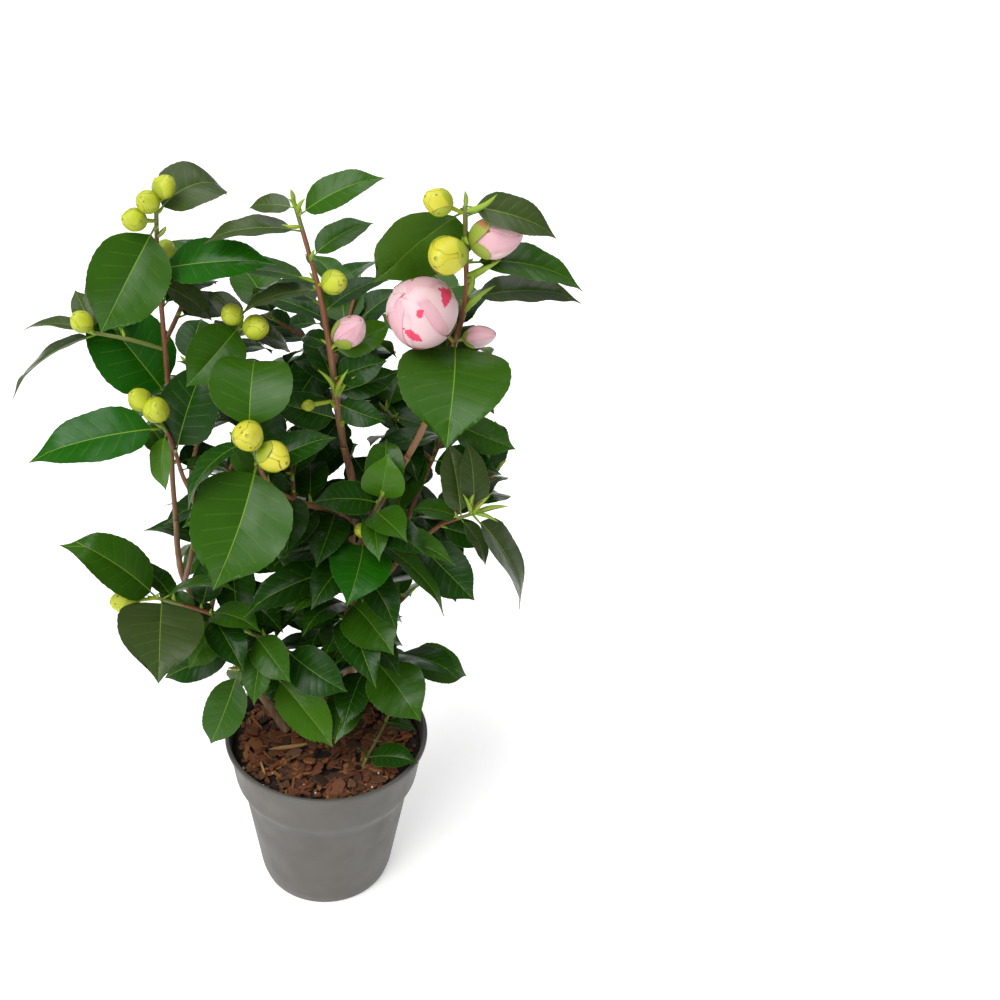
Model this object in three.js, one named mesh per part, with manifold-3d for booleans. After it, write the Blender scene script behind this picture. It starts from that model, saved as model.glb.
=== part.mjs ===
// A camellia shrub in its nursery pot. Millimetres, +Z up. The origin is the middle of the
// pot's flat underside and the plant's front faces -Y. Limbs and twigs are tapering tubes on
// smooth curves; the leaves, buds and blooms of a mass are fused to its twigs.

import * as THREE from 'three';
import { mergeVertices } from 'three/addons/utils/BufferGeometryUtils.js';
import Module from 'manifold-3d';

const wasm = await Module();
wasm.setup();

// ---------------------------------------------------------------- driving dimensions

const pot = {
  height: 135, rimRadius: 75, lipHeight: 4, wall: 1.6, floor: 2,
  bandTopRadius: 72.6, bandFootRadius: 68.2, bandFoot: 98,
  bandSlope: 6, bodyTopRadius: 62.6, bodyFootRadius: 50.8, bodyFoot: 9, footRadius: 48,
  drainHoles: 6, drainRadius: 5, drainCircle: 38, sides: 32,
};
const soil = {
  level: 127, dip: 2.5, gap: 0.4, rings: 5, sides: 20, seed: 5,
  chips: 18, chipLength: [9, 17], chipWidth: [6, 10], chipThick: [3.5, 5.5], clearOfStems: 13,
};
const budShape = {
  outline: [[-1, 0.34], [-0.4, 0.95], [0.42, 0.9]], tip: 1.25, stalk: 1.1, sides: 6, largeSides: 8, large: 10,
};
const bloomShape = {
  heart: 0.9, open: 15, petals: 5, root: [-0.8, 0.5], lean: [0.95, 0.32], length: 1.75, width: 1.35, bend: 75,
  cup: -0.35,
};
const leafShape = {
  petiole: 0.1, petioleRadius: 0.9, baseHalfWidth: 1.3, thick: 0.018, bend: 40, cup: 0.16,
  stations: [0.32, 0.68], testStations: [0.1, 0.3, 0.55, 0.8], clearance: 1.3,
};
const fill = {
  turn: 137.5, leafLength: [50, 72], leafRatio: [0.46, 0.54], leafRise: [-30, 20], leafRoll: [-20, 20],
  leafBend: [30, 60], twigLength: [42, 66], twigRise: [10, 40], twigLeaves: 5, twigThick: [1.5, 1.0],
  twigUp: 0.25, twigClearance: 1.5, leafSwing: 65, leafStep: 0.17,
};
const nudges = [[0, 0], [7, 0], [-7, 0], [0, 9], [0, -9], [12, 6], [-12, -6], [-10, 12], [14, -14]];
const jointGap = 0.3; // between a limb and what springs from it
const stemSides = 7;
const twigSides = 3;

// Limbs: [x, y, z] points up the middle of each, and the radius at each point.
const limbs = {
  trunk: {
    path: [[13, 15, 127.3], [14, 15, 139], [16, 15, 165], [18, 13, 203], [18, 10, 243]],
    radii: [8.2, 6.0, 5.2, 4.5, 3.9], steps: 9,
  },
  stem_left: {
    path: [[-30, 8, 127.3], [-42, 13, 147], [-57, 16, 172], [-80, 14, 218], [-97, 11, 262],
      [-101, 10, 286], [-101, 9, 318]],
    radii: [3.9, 3.3, 3.0, 2.7, 2.4, 2.1, 1.9], steps: 11,
  },
  cut_stub: { path: [[-6, -1, 127.3], [-6.5, -1.5, 131], [-8, -2, 138]], radii: [4.6, 3.7, 3.4], steps: 2 },
  bough_centre: {
    path: [[18, 10, 243.3], [18, 10, 272], [17, 10, 300], [17, 8, 346], [11, 5, 379]],
    radii: [3.4, 3.0, 2.8, 2.6, 2.4], steps: 7,
  },
  bough_right: {
    path: [[18, 11, 230], [16, 4, 252], [20, 0, 282], [24, 0, 309], [36, -8, 345], [52, -13, 382]],
    radii: [3.0, 2.7, 2.5, 2.4, 2.3, 2.2], steps: 9,
  },
  bough_low_right: { path: [[18, 12, 220], [29, 12, 246], [41, 10, 268]], radii: [2.7, 2.3, 2.1], steps: 4 },
  bough_back: { path: [[17, 14, 192], [22, 36, 230], [25, 54, 268]], radii: [3.0, 2.5, 2.3], steps: 5 },
};

// Masses of foliage. Each twig: its middle line, its radius at foot and tip, and what is set on
// it by hand. A leaf is [place along the twig 0-1, heading, rise, length, width, roll, bend];
// a bud or bloom is [place, heading, rise, distance of its middle, radius, slimness]. Angles are
// in degrees, heading 0 is +X and 90 is +Y. 'filler' says how many leaves and side twigs the
// seeded rule adds, between which headings and on which stretch of the stem.
const masses = {
  foliage_left_top: {
    seed: 11, filler: { leaves: 5, twigs: 1, from: 40, to: 140, low: 0.15, high: 0.8 }, twigs: [
      {
        path: [[-101, 9, 318.3], [-101, 6, 356], [-99, 0, 420], [-99, -4, 470], [-99, -8, 514], [-97, -11, 556]],
        radii: [1.8, 1.1],
        leaves: [[0.91, 226, -50, 71, 46, -46], [0.94, 40, 2, 50, 36, 22, 120], [0.77, 350, 10, 72, 33, 30],
          [0.73, 15, -42, 42, 19, 40], [0.71, 230, -15, 24, 11, -10], [0.39, 160, 50, 78, 50, -40]],
        buds: [[0.98, 328, 57, 12, 6.7], [0.96, 246, 37, 11, 6.9], [0.92, 224, 17, 16, 6.9],
          [0.82, 74, -9, 13, 5.8]],
      },
      {
        path: [[-99, -2, 452], [-119, -5, 460], [-140, -8, 466]], radii: [1.3, 1.0],
        leaves: [[1.0, 174, 10, 44, 18, 4], [0.93, 183, -36, 70, 26, 7], [0.98, 129, 50, 31, 15, -24]],
        buds: [[1.0, 230, 52, 13, 6.8]],
      },
    ],
  },
  foliage_left_side: {
    seed: 12, filler: { leaves: 5, twigs: 1, from: 30, to: 150, low: 0.1, high: 0.7 }, twigs: [
      {
        path: [[-98, 10, 266], [-92, 0, 292], [-86, -9, 325], [-86, -12, 347], [-92, -15, 369],
          [-97, -20, 398], [-106, -26, 422]],
        radii: [2.0, 1.0],
        leaves: [[0.90, 190, -10, 84, 38, -27], [0.77, 35, 67, 66, 38, 53],
          [0.88, 262, -68, 38, 18, 30], [0.51, 50, -72, 66, 30, 5]],
        buds: [[1.0, 221, 53, 14, 7.3], [0.97, 279, 44, 16, 8.2]],
      },
      {
        path: [[-86, -12, 347], [-88, 0, 363], [-80, 6, 390], [-67, 6, 428], [-52, -6, 472]],
        radii: [1.4, 1.0],
        leaves: [[1.0, 222, -33, 51, 34, -46], [0.97, 43, -33, 52, 23, 31], [0.99, 136, 17, 37, 17, -2]],
        buds: [[1.0, 243, 48, 15, 6.8], [0.98, 307, 25, 20, 7.9]],
      },
    ],
  },
  foliage_front: {
    seed: 13, filler: { leaves: 5, twigs: 1, from: 70, to: 200, low: 0.1, high: 0.75 }, twigs: [
      {
        path: [[17, 8, 314], [6, -8, 336], [-12, -30, 356], [-28, -48, 376], [-38, -58, 394],
          [-46, -60, 425]],
        radii: [2.1, 1.1],
        leaves: [[1.0, 85, 38, 56, 50, 3, 110], [0.89, 242, -48, 82, 61, -26], [0.86, 15, 18, 50, 24, 20],
          [0.42, 200, 12, 66, 38, -50], [0.66, 190, -25, 62, 32, -20]],
        buds: [[1.0, 270, 31, 16, 9.4], [0.95, 315, 3, 17.5, 9.7]],
      },
    ],
  },
  foliage_centre_top: {
    seed: 14, filler: { leaves: 6, twigs: 1, from: 50, to: 150, low: 0.05, high: 0.55 }, twigs: [
      {
        path: [[11, 5, 379.3], [6, 0, 416], [2, -5, 455], [-5, -10, 498], [-11, -12, 524], [-19, -15, 556]],
        radii: [2.3, 1.1],
        leaves: [[0.94, 5, 26, 55, 25, 28], [0.97, 160, -8, 30, 14, -34], [0.88, 185, -5, 58, 25, -5],
          [0.76, 30, 20, 46, 21, 15], [0.63, 170, -10, 82, 34, 5], [0.60, 192, -22, 50, 22, 0],
          [0.52, 30, 16, 48, 21, 0], [0.39, 20, 20, 44, 20, 55], [0.41, 125, -10, 32, 14, -34],
          [0.29, 350, 26, 37, 21, 65], [0.23, 14, 15, 44, 19, 50], [0.19, 338, -4, 34, 19, 60],
          [0.12, 195, 20, 48, 24, -64], [0.25, 135, 10, 38, 17, 0]],
        buds: [[0.62, 313, 25, 16, 7.7], [0.20, 207, 4, 20, 3.8]],
        blooms: [[0.40, 316, 49, 24, 9.5, 1.4]],
      },
    ],
  },
  foliage_right_top: {
    seed: 15, filler: { leaves: 5, twigs: 1, from: 60, to: 150, low: 0.1, high: 0.6 }, twigs: [
      {
        path: [[52.2, -13.1, 382.4], [61, -18, 407], [71, -27, 447], [77, -33, 477],
          [81, -39, 506], [79, -43, 540], [77, -45, 567]],
        radii: [2.1, 1.2],
        leaves: [[0.88, 150, -46, 74, 52, -88, -40], [0.49, 263, -20, 80, 67, -2, 60], [1.0, 0, -17, 57, 27, 31],
          [0.79, 350, -2, 73, 32, 17], [0.67, 5, -1, 71, 31, 7],
          [0.40, 300, -12, 50, 26, 20]],
        buds: [[0.97, 204, 28, 20, 8.0], [0.83, 237, 12, 23, 11.3]],
        blooms: [[0.49, 218, 45, 40, 20.5, 1.0], [0.86, 350, 15, 17, 12.2, 1.2], [0.50, 333, 22, 16, 6.8, 1.5]],
      },
    ],
  },
  foliage_right_low: {
    seed: 16, filler: { leaves: 5, twigs: 1, from: 20, to: 130, low: 0.1, high: 0.8 }, twigs: [
      {
        path: [[41.2, 10, 268.3], [52, 7, 289], [66, 0, 309], [77, -6, 324], [97, -15, 339]],
        radii: [2.0, 1.0],
        leaves: [[0.91, 120, 68, 54, 24, -14], [1.0, 105, 60, 50, 22, 6], [0.98, 50, 22, 38, 17, -15],
          [0.99, 345, -60, 82, 36, 5], [0.90, 325, -52, 38, 17, 0], [0.72, 10, -24, 38, 20, 62],
          [0.43, 322, -30, 56, 35, 44]],
        buds: [],
      },
    ],
  },
  foliage_right_back: {
    seed: 17, filler: { leaves: 6, twigs: 2, from: 0, to: 150, low: 0.1, high: 0.95 }, twigs: [
      {
        path: [[18, 12, 238], [36, 24, 262], [52, 31, 290], [62, 34, 320], [72, 34, 350], [84, 26, 394]],
        radii: [2.0, 1.1],
        leaves: [[0.96, 340, -14, 49, 25, 60], [0.8, 320, 20, 58, 28, 30],
          [0.55, 300, -30, 62, 30, 20], [0.9, 190, -10, 52, 26, 0]],
        buds: [[1.0, 60, 60, 10, 6.5]],
      },
    ],
  },
  foliage_centre_front: {
    seed: 18, filler: { leaves: 5, twigs: 0, from: 180, to: 360, low: 0.1, high: 0.9 }, twigs: [
      {
        path: [[17, 13, 196], [13, -6, 222], [13, -22, 256], [18, -26, 292], [24, -26, 325], [35, -26, 360]],
        radii: [2.0, 1.0],
        leaves: [[0.79, 259, -10, 56, 42, -11, 50], [0.81, 332, 2, 66, 29, 0], [0.83, 345, -44, 80, 24, 0],
          [0.50, 302, -10, 54, 38, 30], [0.52, 12, -36, 48, 21, 20], [0.68, 192, -20, 84, 36, -10],
          [0.76, 176, -20, 60, 28, -5], [1.0, 82, 48, 42, 26, 5], [0.97, 200, 14, 46, 24, -40],
          [0.9, 310, -18, 46, 25, 20]],
        buds: [[0.86, 240, 20, 10, 5.0]],
      },
    ],
  },
  foliage_low_left: {
    seed: 19, filler: { leaves: 5, twigs: 1, from: 20, to: 180, low: 0.1, high: 0.8 }, twigs: [
      {
        path: [[-58, 15, 174], [-58, 4, 196], [-61, -8, 225], [-72, -15, 251], [-86, -20, 264], [-112, -28, 280]],
        radii: [2.1, 1.1],
        leaves: [[0.98, 264, -12, 68, 56, -12, 60], [1.0, 184, 44, 79, 36, -36], [0.92, 135, 16, 46, 21, 14],
          [0.80, 160, 20, 31, 16, -42], [0.60, 235, -28, 40, 25, -34], [0.40, 186, -26, 60, 28, -36],
          [0.70, 300, -20, 48, 26, 10]],
        buds: [[1.0, 204, 12, 22, 8.5]],
      },
    ],
  },
  foliage_low_front: {
    seed: 20, filler: { leaves: 2, twigs: 0, from: 180, to: 360, low: 0.2, high: 0.9 }, twigs: [
      {
        path: [[16, 13, 160], [22, 0, 182], [31, -12, 210], [44, -13, 217], [55, -10, 212]], radii: [1.8, 1.0],
        leaves: [[0.55, 304, -18, 58, 42, 30], [1.0, 5, -24, 52, 30, 32], [0.4, 250, -20, 50, 26, 0]],
        buds: [],
      },
      {
        path: [[18, 6, 170], [-4, -8, 186], [-26, -18, 200], [-46, -24, 212], [-61, -26, 216]], radii: [1.5, 1.0],
        leaves: [[0.62, 325, -34, 66, 32, 30], [1.0, 222, -62, 60, 29, -38]],
        buds: [],
      },
      {
        path: [[-15, -13, 193], [-22, -18, 216], [-34, -22, 236], [-52, -24, 246]], radii: [1.3, 1.0],
        leaves: [[0.55, 325, -16, 54, 32, 45], [0.95, 305, -18, 44, 26, 40]],
        buds: [],
      },
    ],
  },
  foliage_back: {
    seed: 21, filler: { leaves: 5, twigs: 4, from: 0, to: 180, low: 0.1, high: 0.95 }, twigs: [
      {
        path: [[25.2, 54.6, 269.3], [20, 64, 310], [13, 67, 356], [8, 62, 408], [4, 52, 446]], radii: [2.2, 1.1],
        leaves: [[0.98, 20, 20, 58, 28, 10], [0.99, 160, 10, 60, 30, 0], [0.95, 95, -10, 64, 32, 0],
          [0.55, 240, -20, 64, 32, -10], [0.4, 300, -25, 66, 33, 10], [0.75, 200, -10, 60, 30, -20],
          [0.2, 225, -15, 66, 34, -10], [0.3, 265, -30, 66, 34, 0], [0.1, 300, 0, 60, 32, 10]],
        buds: [[1.0, 60, 70, 12, 7.2]],
      },
    ],
  },
  foliage_back_left: {
    seed: 22, filler: { leaves: 4, twigs: 3, from: 40, to: 220, low: 0.1, high: 0.95 }, twigs: [
      {
        path: [[-84, 13, 228], [-76, 30, 258], [-62, 44, 298], [-54, 48, 346], [-52, 44, 396]], radii: [2.1, 1.1],
        leaves: [[0.98, 150, 15, 58, 28, 10], [0.96, 30, 10, 60, 30, 0], [0.9, 95, -10, 62, 31, 0],
          [0.5, 310, -20, 64, 32, 10], [0.7, 345, -10, 60, 30, 10], [0.35, 270, -25, 60, 30, 0],
          [0.2, 320, -10, 64, 33, 10], [0.3, 350, 5, 62, 32, 10]],
        buds: [[1.0, 90, 70, 12, 7.2]],
      },
    ],
  },
  foliage_low_back: {
    seed: 23, filler: { leaves: 5, twigs: 3, from: 20, to: 190, low: 0.1, high: 0.95 }, twigs: [
      {
        path: [[17, 16, 178], [10, 34, 196], [-6, 48, 222], [-18, 52, 252]], radii: [1.9, 1.1],
        leaves: [[0.97, 100, -20, 62, 31, 0], [1.0, 170, 10, 58, 28, 0], [0.9, 40, -15, 60, 30, 0],
          [0.95, 250, -20, 62, 32, 0], [0.8, 215, 5, 64, 33, -10], [1.0, 290, 10, 60, 32, 0],
          [0.5, 265, 15, 60, 32, 0]],
        buds: [],
      },
    ],
  },
  soil_sprig: {
    seed: 24, filler: { leaves: 0, twigs: 0, from: 0, to: 0, low: 0, high: 1 }, twigs: [
      {
        path: [[26, -33, 127.4], [29, -30, 134], [36, -16, 137], [44, 2, 139]], radii: [1.3, 0.9],
        leaves: [[0.33, 338, 12, 40, 22, 14], [1.0, 345, -6, 24, 12, 0], [0.3, 200, 60, 16, 8, 0]],
        buds: [],
      },
    ],
  },
};

const tone = {
  pot: 0x6f7072, soil: 0x5a3a28, bark: 0x8a7355, redBark: 0x7c4a35, leaf: 0x2f4a26, youngLeaf: 0x6f9440,
};

// ---------------------------------------------------------------- small helpers

const degree = Math.PI / 180;
const point = ([x, y, z]) => new THREE.Vector3(x, y, z);
const mix = ([low, high], share) => low + (high - low) * share;

function seeded(seed) { // the same run of numbers from 0 to 1 for the same seed
  let state = seed >>> 0;
  return () => {
    state = (state + 0x6d2b79f5) >>> 0;
    let mixed = Math.imul(state ^ (state >>> 15), state | 1);
    mixed = (mixed ^ (mixed + Math.imul(mixed ^ (mixed >>> 7), mixed | 61))) >>> 0;
    return ((mixed ^ (mixed >>> 14)) >>> 0) / 4294967296;
  };
}

function pointOn(path, share) { // a smooth curve through the path's points
  const last = path.length - 1;
  const place = Math.min(Math.max(share, 0), 1) * last;
  const i = Math.min(Math.floor(place), last - 1);
  const w = place - i;
  const b = path[i];
  const c = path[i + 1];
  const a = i > 0 ? path[i - 1] : b.clone().multiplyScalar(2).sub(c);
  const d = i + 2 <= last ? path[i + 2] : c.clone().multiplyScalar(2).sub(b);
  const spline = (p, q, r, s) => 0.5 * (2 * q + (r - p) * w + (2 * p - 5 * q + 4 * r - s) * w * w
    + (3 * q - p - 3 * r + s) * w * w * w);
  return new THREE.Vector3(spline(a.x, b.x, c.x, d.x), spline(a.y, b.y, c.y, d.y), spline(a.z, b.z, c.z, d.z));
}

function directions(heading, rise, roll) { // along, to the side and out of the upper face
  const h = heading * degree;
  const r = rise * degree;
  const along = new THREE.Vector3(Math.cos(h) * Math.cos(r), Math.sin(h) * Math.cos(r), Math.sin(r));
  const level = new THREE.Vector3(-Math.sin(h), Math.cos(h), 0);
  const raised = along.clone().cross(level);
  const side = level.multiplyScalar(Math.cos(roll * degree)).addScaledVector(raised, Math.sin(roll * degree));
  return { along, side, up: along.clone().cross(side) };
}

// ---------------------------------------------------------------- closed solids

// A closed skin over rings of points. Each ring turns anticlockwise about the way the rings
// run; a first or last ring of one point is a tip, and one of more points gets a flat cap.
function loft(rings) {
  const positions = [];
  const triangles = [];
  const starts = rings.map((ring) => {
    const start = positions.length / 3;
    ring.forEach((p) => positions.push(p.x, p.y, p.z));
    return start;
  });
  for (let r = 0; r + 1 < rings.length; r++) {
    const sides = Math.max(rings[r].length, rings[r + 1].length);
    for (let k = 0; k < sides; k++) {
      const next = (k + 1) % sides;
      const [low, high] = [starts[r], starts[r + 1]];
      if (rings[r].length > 1) triangles.push(low + k, low + next, high + (rings[r + 1].length > 1 ? next : 0));
      if (rings[r + 1].length > 1) triangles.push(low + (rings[r].length > 1 ? k : 0), high + next, high + k);
    }
  }
  const [first, end] = [rings[0], rings[rings.length - 1]];
  const endStart = starts[rings.length - 1];
  for (let k = 1; k + 1 < first.length; k++) triangles.push(0, k + 1, k);
  for (let k = 1; k + 1 < end.length; k++) triangles.push(endStart, endStart + k, endStart + k + 1);
  const geometry = new THREE.BufferGeometry();
  geometry.setAttribute('position', new THREE.Float32BufferAttribute(positions, 3));
  geometry.setIndex(triangles);
  return geometry;
}

function solidOf(geometry) { // a manifold-3d solid of a closed geometry
  geometry.deleteAttribute('normal');
  geometry.deleteAttribute('uv');
  const merged = mergeVertices(geometry, 1e-4);
  const index = merged.index.array;
  const kept = [];
  for (let i = 0; i < index.length; i += 3) {
    const [a, b, c] = [index[i], index[i + 1], index[i + 2]];
    if (a !== b && b !== c && c !== a) kept.push(a, b, c);
  }
  return new wasm.Manifold(new wasm.Mesh({
    numProp: 3, vertProperties: Float32Array.from(merged.attributes.position.array), triVerts: Uint32Array.from(kept),
  }));
}

function mainBody(solid) { // drops loose scraps and fills hollows that fusing sealed
  const bodies = solid.decompose();
  return bodies.reduce((best, body) => (body.volume() > best.volume() ? body : best));
}

function meshOf(name, solid, colour, roughness) {
  const { vertProperties, triVerts } = solid.getMesh();
  const geometry = new THREE.BufferGeometry();
  geometry.setAttribute('position', new THREE.Float32BufferAttribute(vertProperties, 3));
  geometry.setIndex(Array.from(triVerts));
  geometry.computeVertexNormals();
  const mesh = new THREE.Mesh(geometry, new THREE.MeshStandardMaterial({ color: colour, roughness, metalness: 0 }));
  mesh.name = name;
  return mesh;
}

// ---------------------------------------------------------------- limbs and twigs

// Points and radii at even steps up a limb; 'extra' fattens it and runs it on at both ends.
function limbLine(path, radii, steps, extra = 0) {
  const points = path.map(point);
  const line = [];
  for (let i = 0; i <= steps; i++) {
    const share = i / steps;
    const place = share * (radii.length - 1);
    const j = Math.min(Math.floor(place), radii.length - 2);
    line.push({ middle: pointOn(points, share), radius: radii[j] + (radii[j + 1] - radii[j]) * (place - j) + extra });
  }
  const way = (i, j) => line[i].middle.clone().sub(line[j].middle).normalize();
  const [foot, tip] = [way(0, 1), way(steps, steps - 1)];
  line[0].middle.addScaledVector(foot, extra);
  line[steps].middle.addScaledVector(tip, extra);
  return line;
}

function tube(line, sides, levelFoot = false) {
  let side = null;
  const rings = line.map(({ middle, radius }, i) => {
    const next = line[Math.min(i + 1, line.length - 1)].middle;
    const before = line[Math.max(i - 1, 0)].middle;
    let way = next.clone().sub(before).normalize();
    if (levelFoot && i === 0) way = new THREE.Vector3(0, 0, 1);
    if (!side) side = Math.abs(way.x) < 0.8 ? new THREE.Vector3(1, 0, 0) : new THREE.Vector3(0, 1, 0);
    side = side.addScaledVector(way, -side.dot(way)).normalize();
    const other = way.clone().cross(side);
    return Array.from({ length: sides }, (_, k) => {
      const turn = (2 * Math.PI * k) / sides;
      return middle.clone().addScaledVector(side, radius * Math.cos(turn)).addScaledVector(other, radius * Math.sin(turn));
    });
  });
  return solidOf(loft(rings));
}

// ---------------------------------------------------------------- leaves, buds and blooms

function leafOutline(share) { // half width from the blade's foot to its tip, 1 at the widest
  return 2.569 * share ** 0.62 * (1 - share) ** 0.75;
}

function leafPoint(leaf, share, across) {
  const half = (leaf.bend * degree) / 2;
  const radius = leaf.length / (2 * Math.sin(half));
  const turn = 2 * half * (share - 0.5);
  const reach = radius * (Math.sin(turn) + Math.sin(half));
  const arch = radius * (Math.cos(turn) - Math.cos(half));
  const blade = Math.max(share - leafShape.petiole, 0) / (1 - leafShape.petiole);
  const halfWidth = Math.max((leaf.width / 2) * leafOutline(blade), share < 1 ? leafShape.baseHalfWidth : 0);
  return leaf.root.clone().addScaledVector(leaf.along, reach)
    .addScaledVector(leaf.up, arch + leaf.cup * halfWidth * Math.abs(across))
    .addScaledVector(leaf.side, across * halfWidth);
}

function leafSolid(leaf) {
  const halfThick = (leaf.length * leafShape.thick) / 2;
  const ring = (share) => [leafPoint(leaf, share, -1), leafPoint(leaf, share, 0).addScaledVector(leaf.up, -halfThick),
    leafPoint(leaf, share, 1), leafPoint(leaf, share, 0).addScaledVector(leaf.up, halfThick)];
  const r = leafShape.petioleRadius;
  const foot = [[-1, 0], [0, -1], [1, 0], [0, 1]].map(([s, u]) => leaf.root.clone()
    .addScaledVector(leaf.side, s * r).addScaledVector(leaf.up, u * r));
  return solidOf(loft([foot, ...leafShape.stations.map(ring), [leafPoint(leaf, 1, 0)]]));
}

function budSolid(bud) {
  const sides = bud.radius > budShape.large ? budShape.largeSides : budShape.sides;
  const ring = (reach, radius) => Array.from({ length: sides }, (_, k) => {
    const turn = (2 * Math.PI * k) / sides;
    return bud.middle.clone().addScaledVector(bud.along, reach)
      .addScaledVector(bud.side, radius * Math.cos(turn)).addScaledVector(bud.up, radius * Math.sin(turn));
  });
  const length = bud.radius * bud.slim;
  return solidOf(loft([ring(-bud.reach, budShape.stalk),
    ...budShape.outline.map(([x, y]) => ring(x * length, y * bud.radius)),
    [bud.middle.clone().addScaledVector(bud.along, budShape.tip * length)]]));
}

// A part-open bloom: a round heart with a row of broad petals that stand a little off it.
function bloomSolid(bloom) {
  const { heart, lean } = bloomShape;
  const parts = [budSolid({ ...bloom, slim: bloom.slim * heart, radius: bloom.radius * heart })];
  const petals = bloom.radius > bloomShape.open ? bloomShape.petals : 0;
  for (let k = 0; k < petals; k++) {
    const turn = (2 * Math.PI * k) / petals;
    const out = bloom.side.clone().multiplyScalar(Math.cos(turn)).addScaledVector(bloom.up, Math.sin(turn));
    const side = bloom.along.clone().cross(out);
    const root = bloom.middle.clone().addScaledVector(bloom.along, bloomShape.root[0] * bloom.radius * bloom.slim)
      .addScaledVector(out, bloomShape.root[1] * bloom.radius);
    const along = bloom.along.clone().multiplyScalar(lean[0]).addScaledVector(out, lean[1]).normalize();
    parts.push(leafSolid({
      root, along, side, up: along.clone().cross(side), length: bloomShape.length * bloom.radius * bloom.slim,
      width: bloomShape.width * bloom.radius, bend: bloomShape.bend, cup: bloomShape.cup,
    }));
  }
  return wasm.Manifold.union(parts);
}

// ---------------------------------------------------------------- what keeps leaves apart

// A leaf's test skin: its triangles, and its edges on both sides of them.
function leafSkin(leaf) {
  const rows = leafShape.testStations.map((share) => [-1, 0, 1].map((across) => leafPoint(leaf, share, across)));
  const tip = leafPoint(leaf, 1, 0);
  const triangles = [];
  const edges = [];
  rows.forEach((row, i) => {
    edges.push([row[0], row[1]], [row[1], row[2]]);
    const next = rows[i + 1] ?? [tip, tip, tip];
    for (let k = 0; k < 3; k++) edges.push([row[k], next[k]]);
    for (let k = 0; k < 2; k++) {
      triangles.push([row[k], row[k + 1], next[k + 1]]);
      if (rows[i + 1]) triangles.push([row[k], next[k + 1], next[k]]);
    }
  });
  const middle = leafPoint(leaf, 0.5, 0);
  const size = Math.max(...rows.flat().concat(tip).map((p) => p.distanceTo(middle))) + leafShape.clearance;
  const shifted = [-1, 1].flatMap((way) => edges.map((edge) => edge.map((p) => p.clone()
    .addScaledVector(leaf.up, way * leafShape.clearance))));
  return { triangles, edges, shifted, middle, size };
}

function crosses([from, to], [a, b, c]) { // a line between two points, and a triangle
  const way = to.clone().sub(from);
  const [u, v] = [b.clone().sub(a), c.clone().sub(a)];
  const across = way.clone().cross(v);
  const scale = u.dot(across);
  if (Math.abs(scale) < 1e-12) return false;
  const off = from.clone().sub(a);
  const p = off.dot(across) / scale;
  const turned = off.cross(u);
  const q = way.dot(turned) / scale;
  const t = v.dot(turned) / scale;
  return p >= 0 && q >= 0 && p + q <= 1 && t >= 0 && t <= 1;
}

function gapBetween([a, b], [c, d]) { // the least distance between two straight lines
  const [u, v, w] = [b.clone().sub(a), d.clone().sub(c), a.clone().sub(c)];
  const [uu, uv, vv, uw, vw] = [u.dot(u), u.dot(v), v.dot(v), u.dot(w), v.dot(w)];
  const clamp = (x) => Math.min(Math.max(x, 0), 1);
  const scale = uu * vv - uv * uv;
  let s = scale > 1e-9 ? clamp((uv * vw - vv * uw) / scale) : 0;
  const t = clamp((uv * s + vw) / Math.max(vv, 1e-9));
  s = clamp((uv * t - uw) / Math.max(uu, 1e-9));
  return w.addScaledVector(u, s).addScaledVector(v, -t).length();
}

const placed = { leaves: [], lines: [], balls: [] };

function leafIsFree(skin, ownLine) {
  const near = (middle, size) => middle.distanceTo(skin.middle) < size + skin.size;
  for (const other of placed.leaves) {
    if (!near(other.middle, other.size)) continue;
    if (skin.shifted.some((edge) => other.triangles.some((face) => crosses(edge, face)))) return false;
    if (other.shifted.some((edge) => skin.triangles.some((face) => crosses(edge, face)))) return false;
  }
  for (const line of placed.lines) {
    if (line === ownLine) continue;
    for (let i = 0; i + 1 < line.length; i++) {
      const piece = [line[i].middle, line[i + 1].middle];
      const reach = line[i].radius + fill.twigClearance;
      if (!near(piece[0], piece[0].distanceTo(piece[1]) + reach)) continue;
      if (skin.triangles.some((face) => crosses(piece, face))) return false;
      if (skin.edges.some((edge) => gapBetween(edge, piece) < reach)) return false;
    }
  }
  return placed.balls.every(({ middle, radius }) => {
    if (!near(middle, radius)) return true;
    const cross = [[1, 0, 0], [0, 1, 0], [0, 0, 1]].map((way) => [-1, 1].map((end) => middle.clone()
      .addScaledVector(point(way), end * radius)));
    return !cross.some((line) => skin.triangles.some((face) => crosses(line, face)))
      && skin.edges.every((edge) => gapBetween(edge, [middle, middle.clone().addScalar(0.01)]) > radius + 1);
  });
}

function lineIsFree(line) {
  for (let i = 1; i + 1 < line.length; i++) {
    const piece = [line[i].middle, line[i + 1].middle];
    for (const other of placed.lines) {
      for (let j = 0; j + 1 < other.length; j++) {
        const gap = gapBetween(piece, [other[j].middle, other[j + 1].middle]);
        if (gap < line[i].radius + other[j].radius + fill.twigClearance) return false;
      }
    }
    if (placed.leaves.some((leaf) => leaf.triangles.some((face) => crosses(piece, face))
      || leaf.edges.some((edge) => gapBetween(edge, piece) < line[i].radius + fill.twigClearance))) return false;
    if (placed.balls.some((ball) => gapBetween(piece, [ball.middle, ball.middle.clone().addScalar(0.01)])
      < ball.radius + line[i].radius + 1)) return false;
  }
  return true;
}

// ---------------------------------------------------------------- growing the masses

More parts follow.
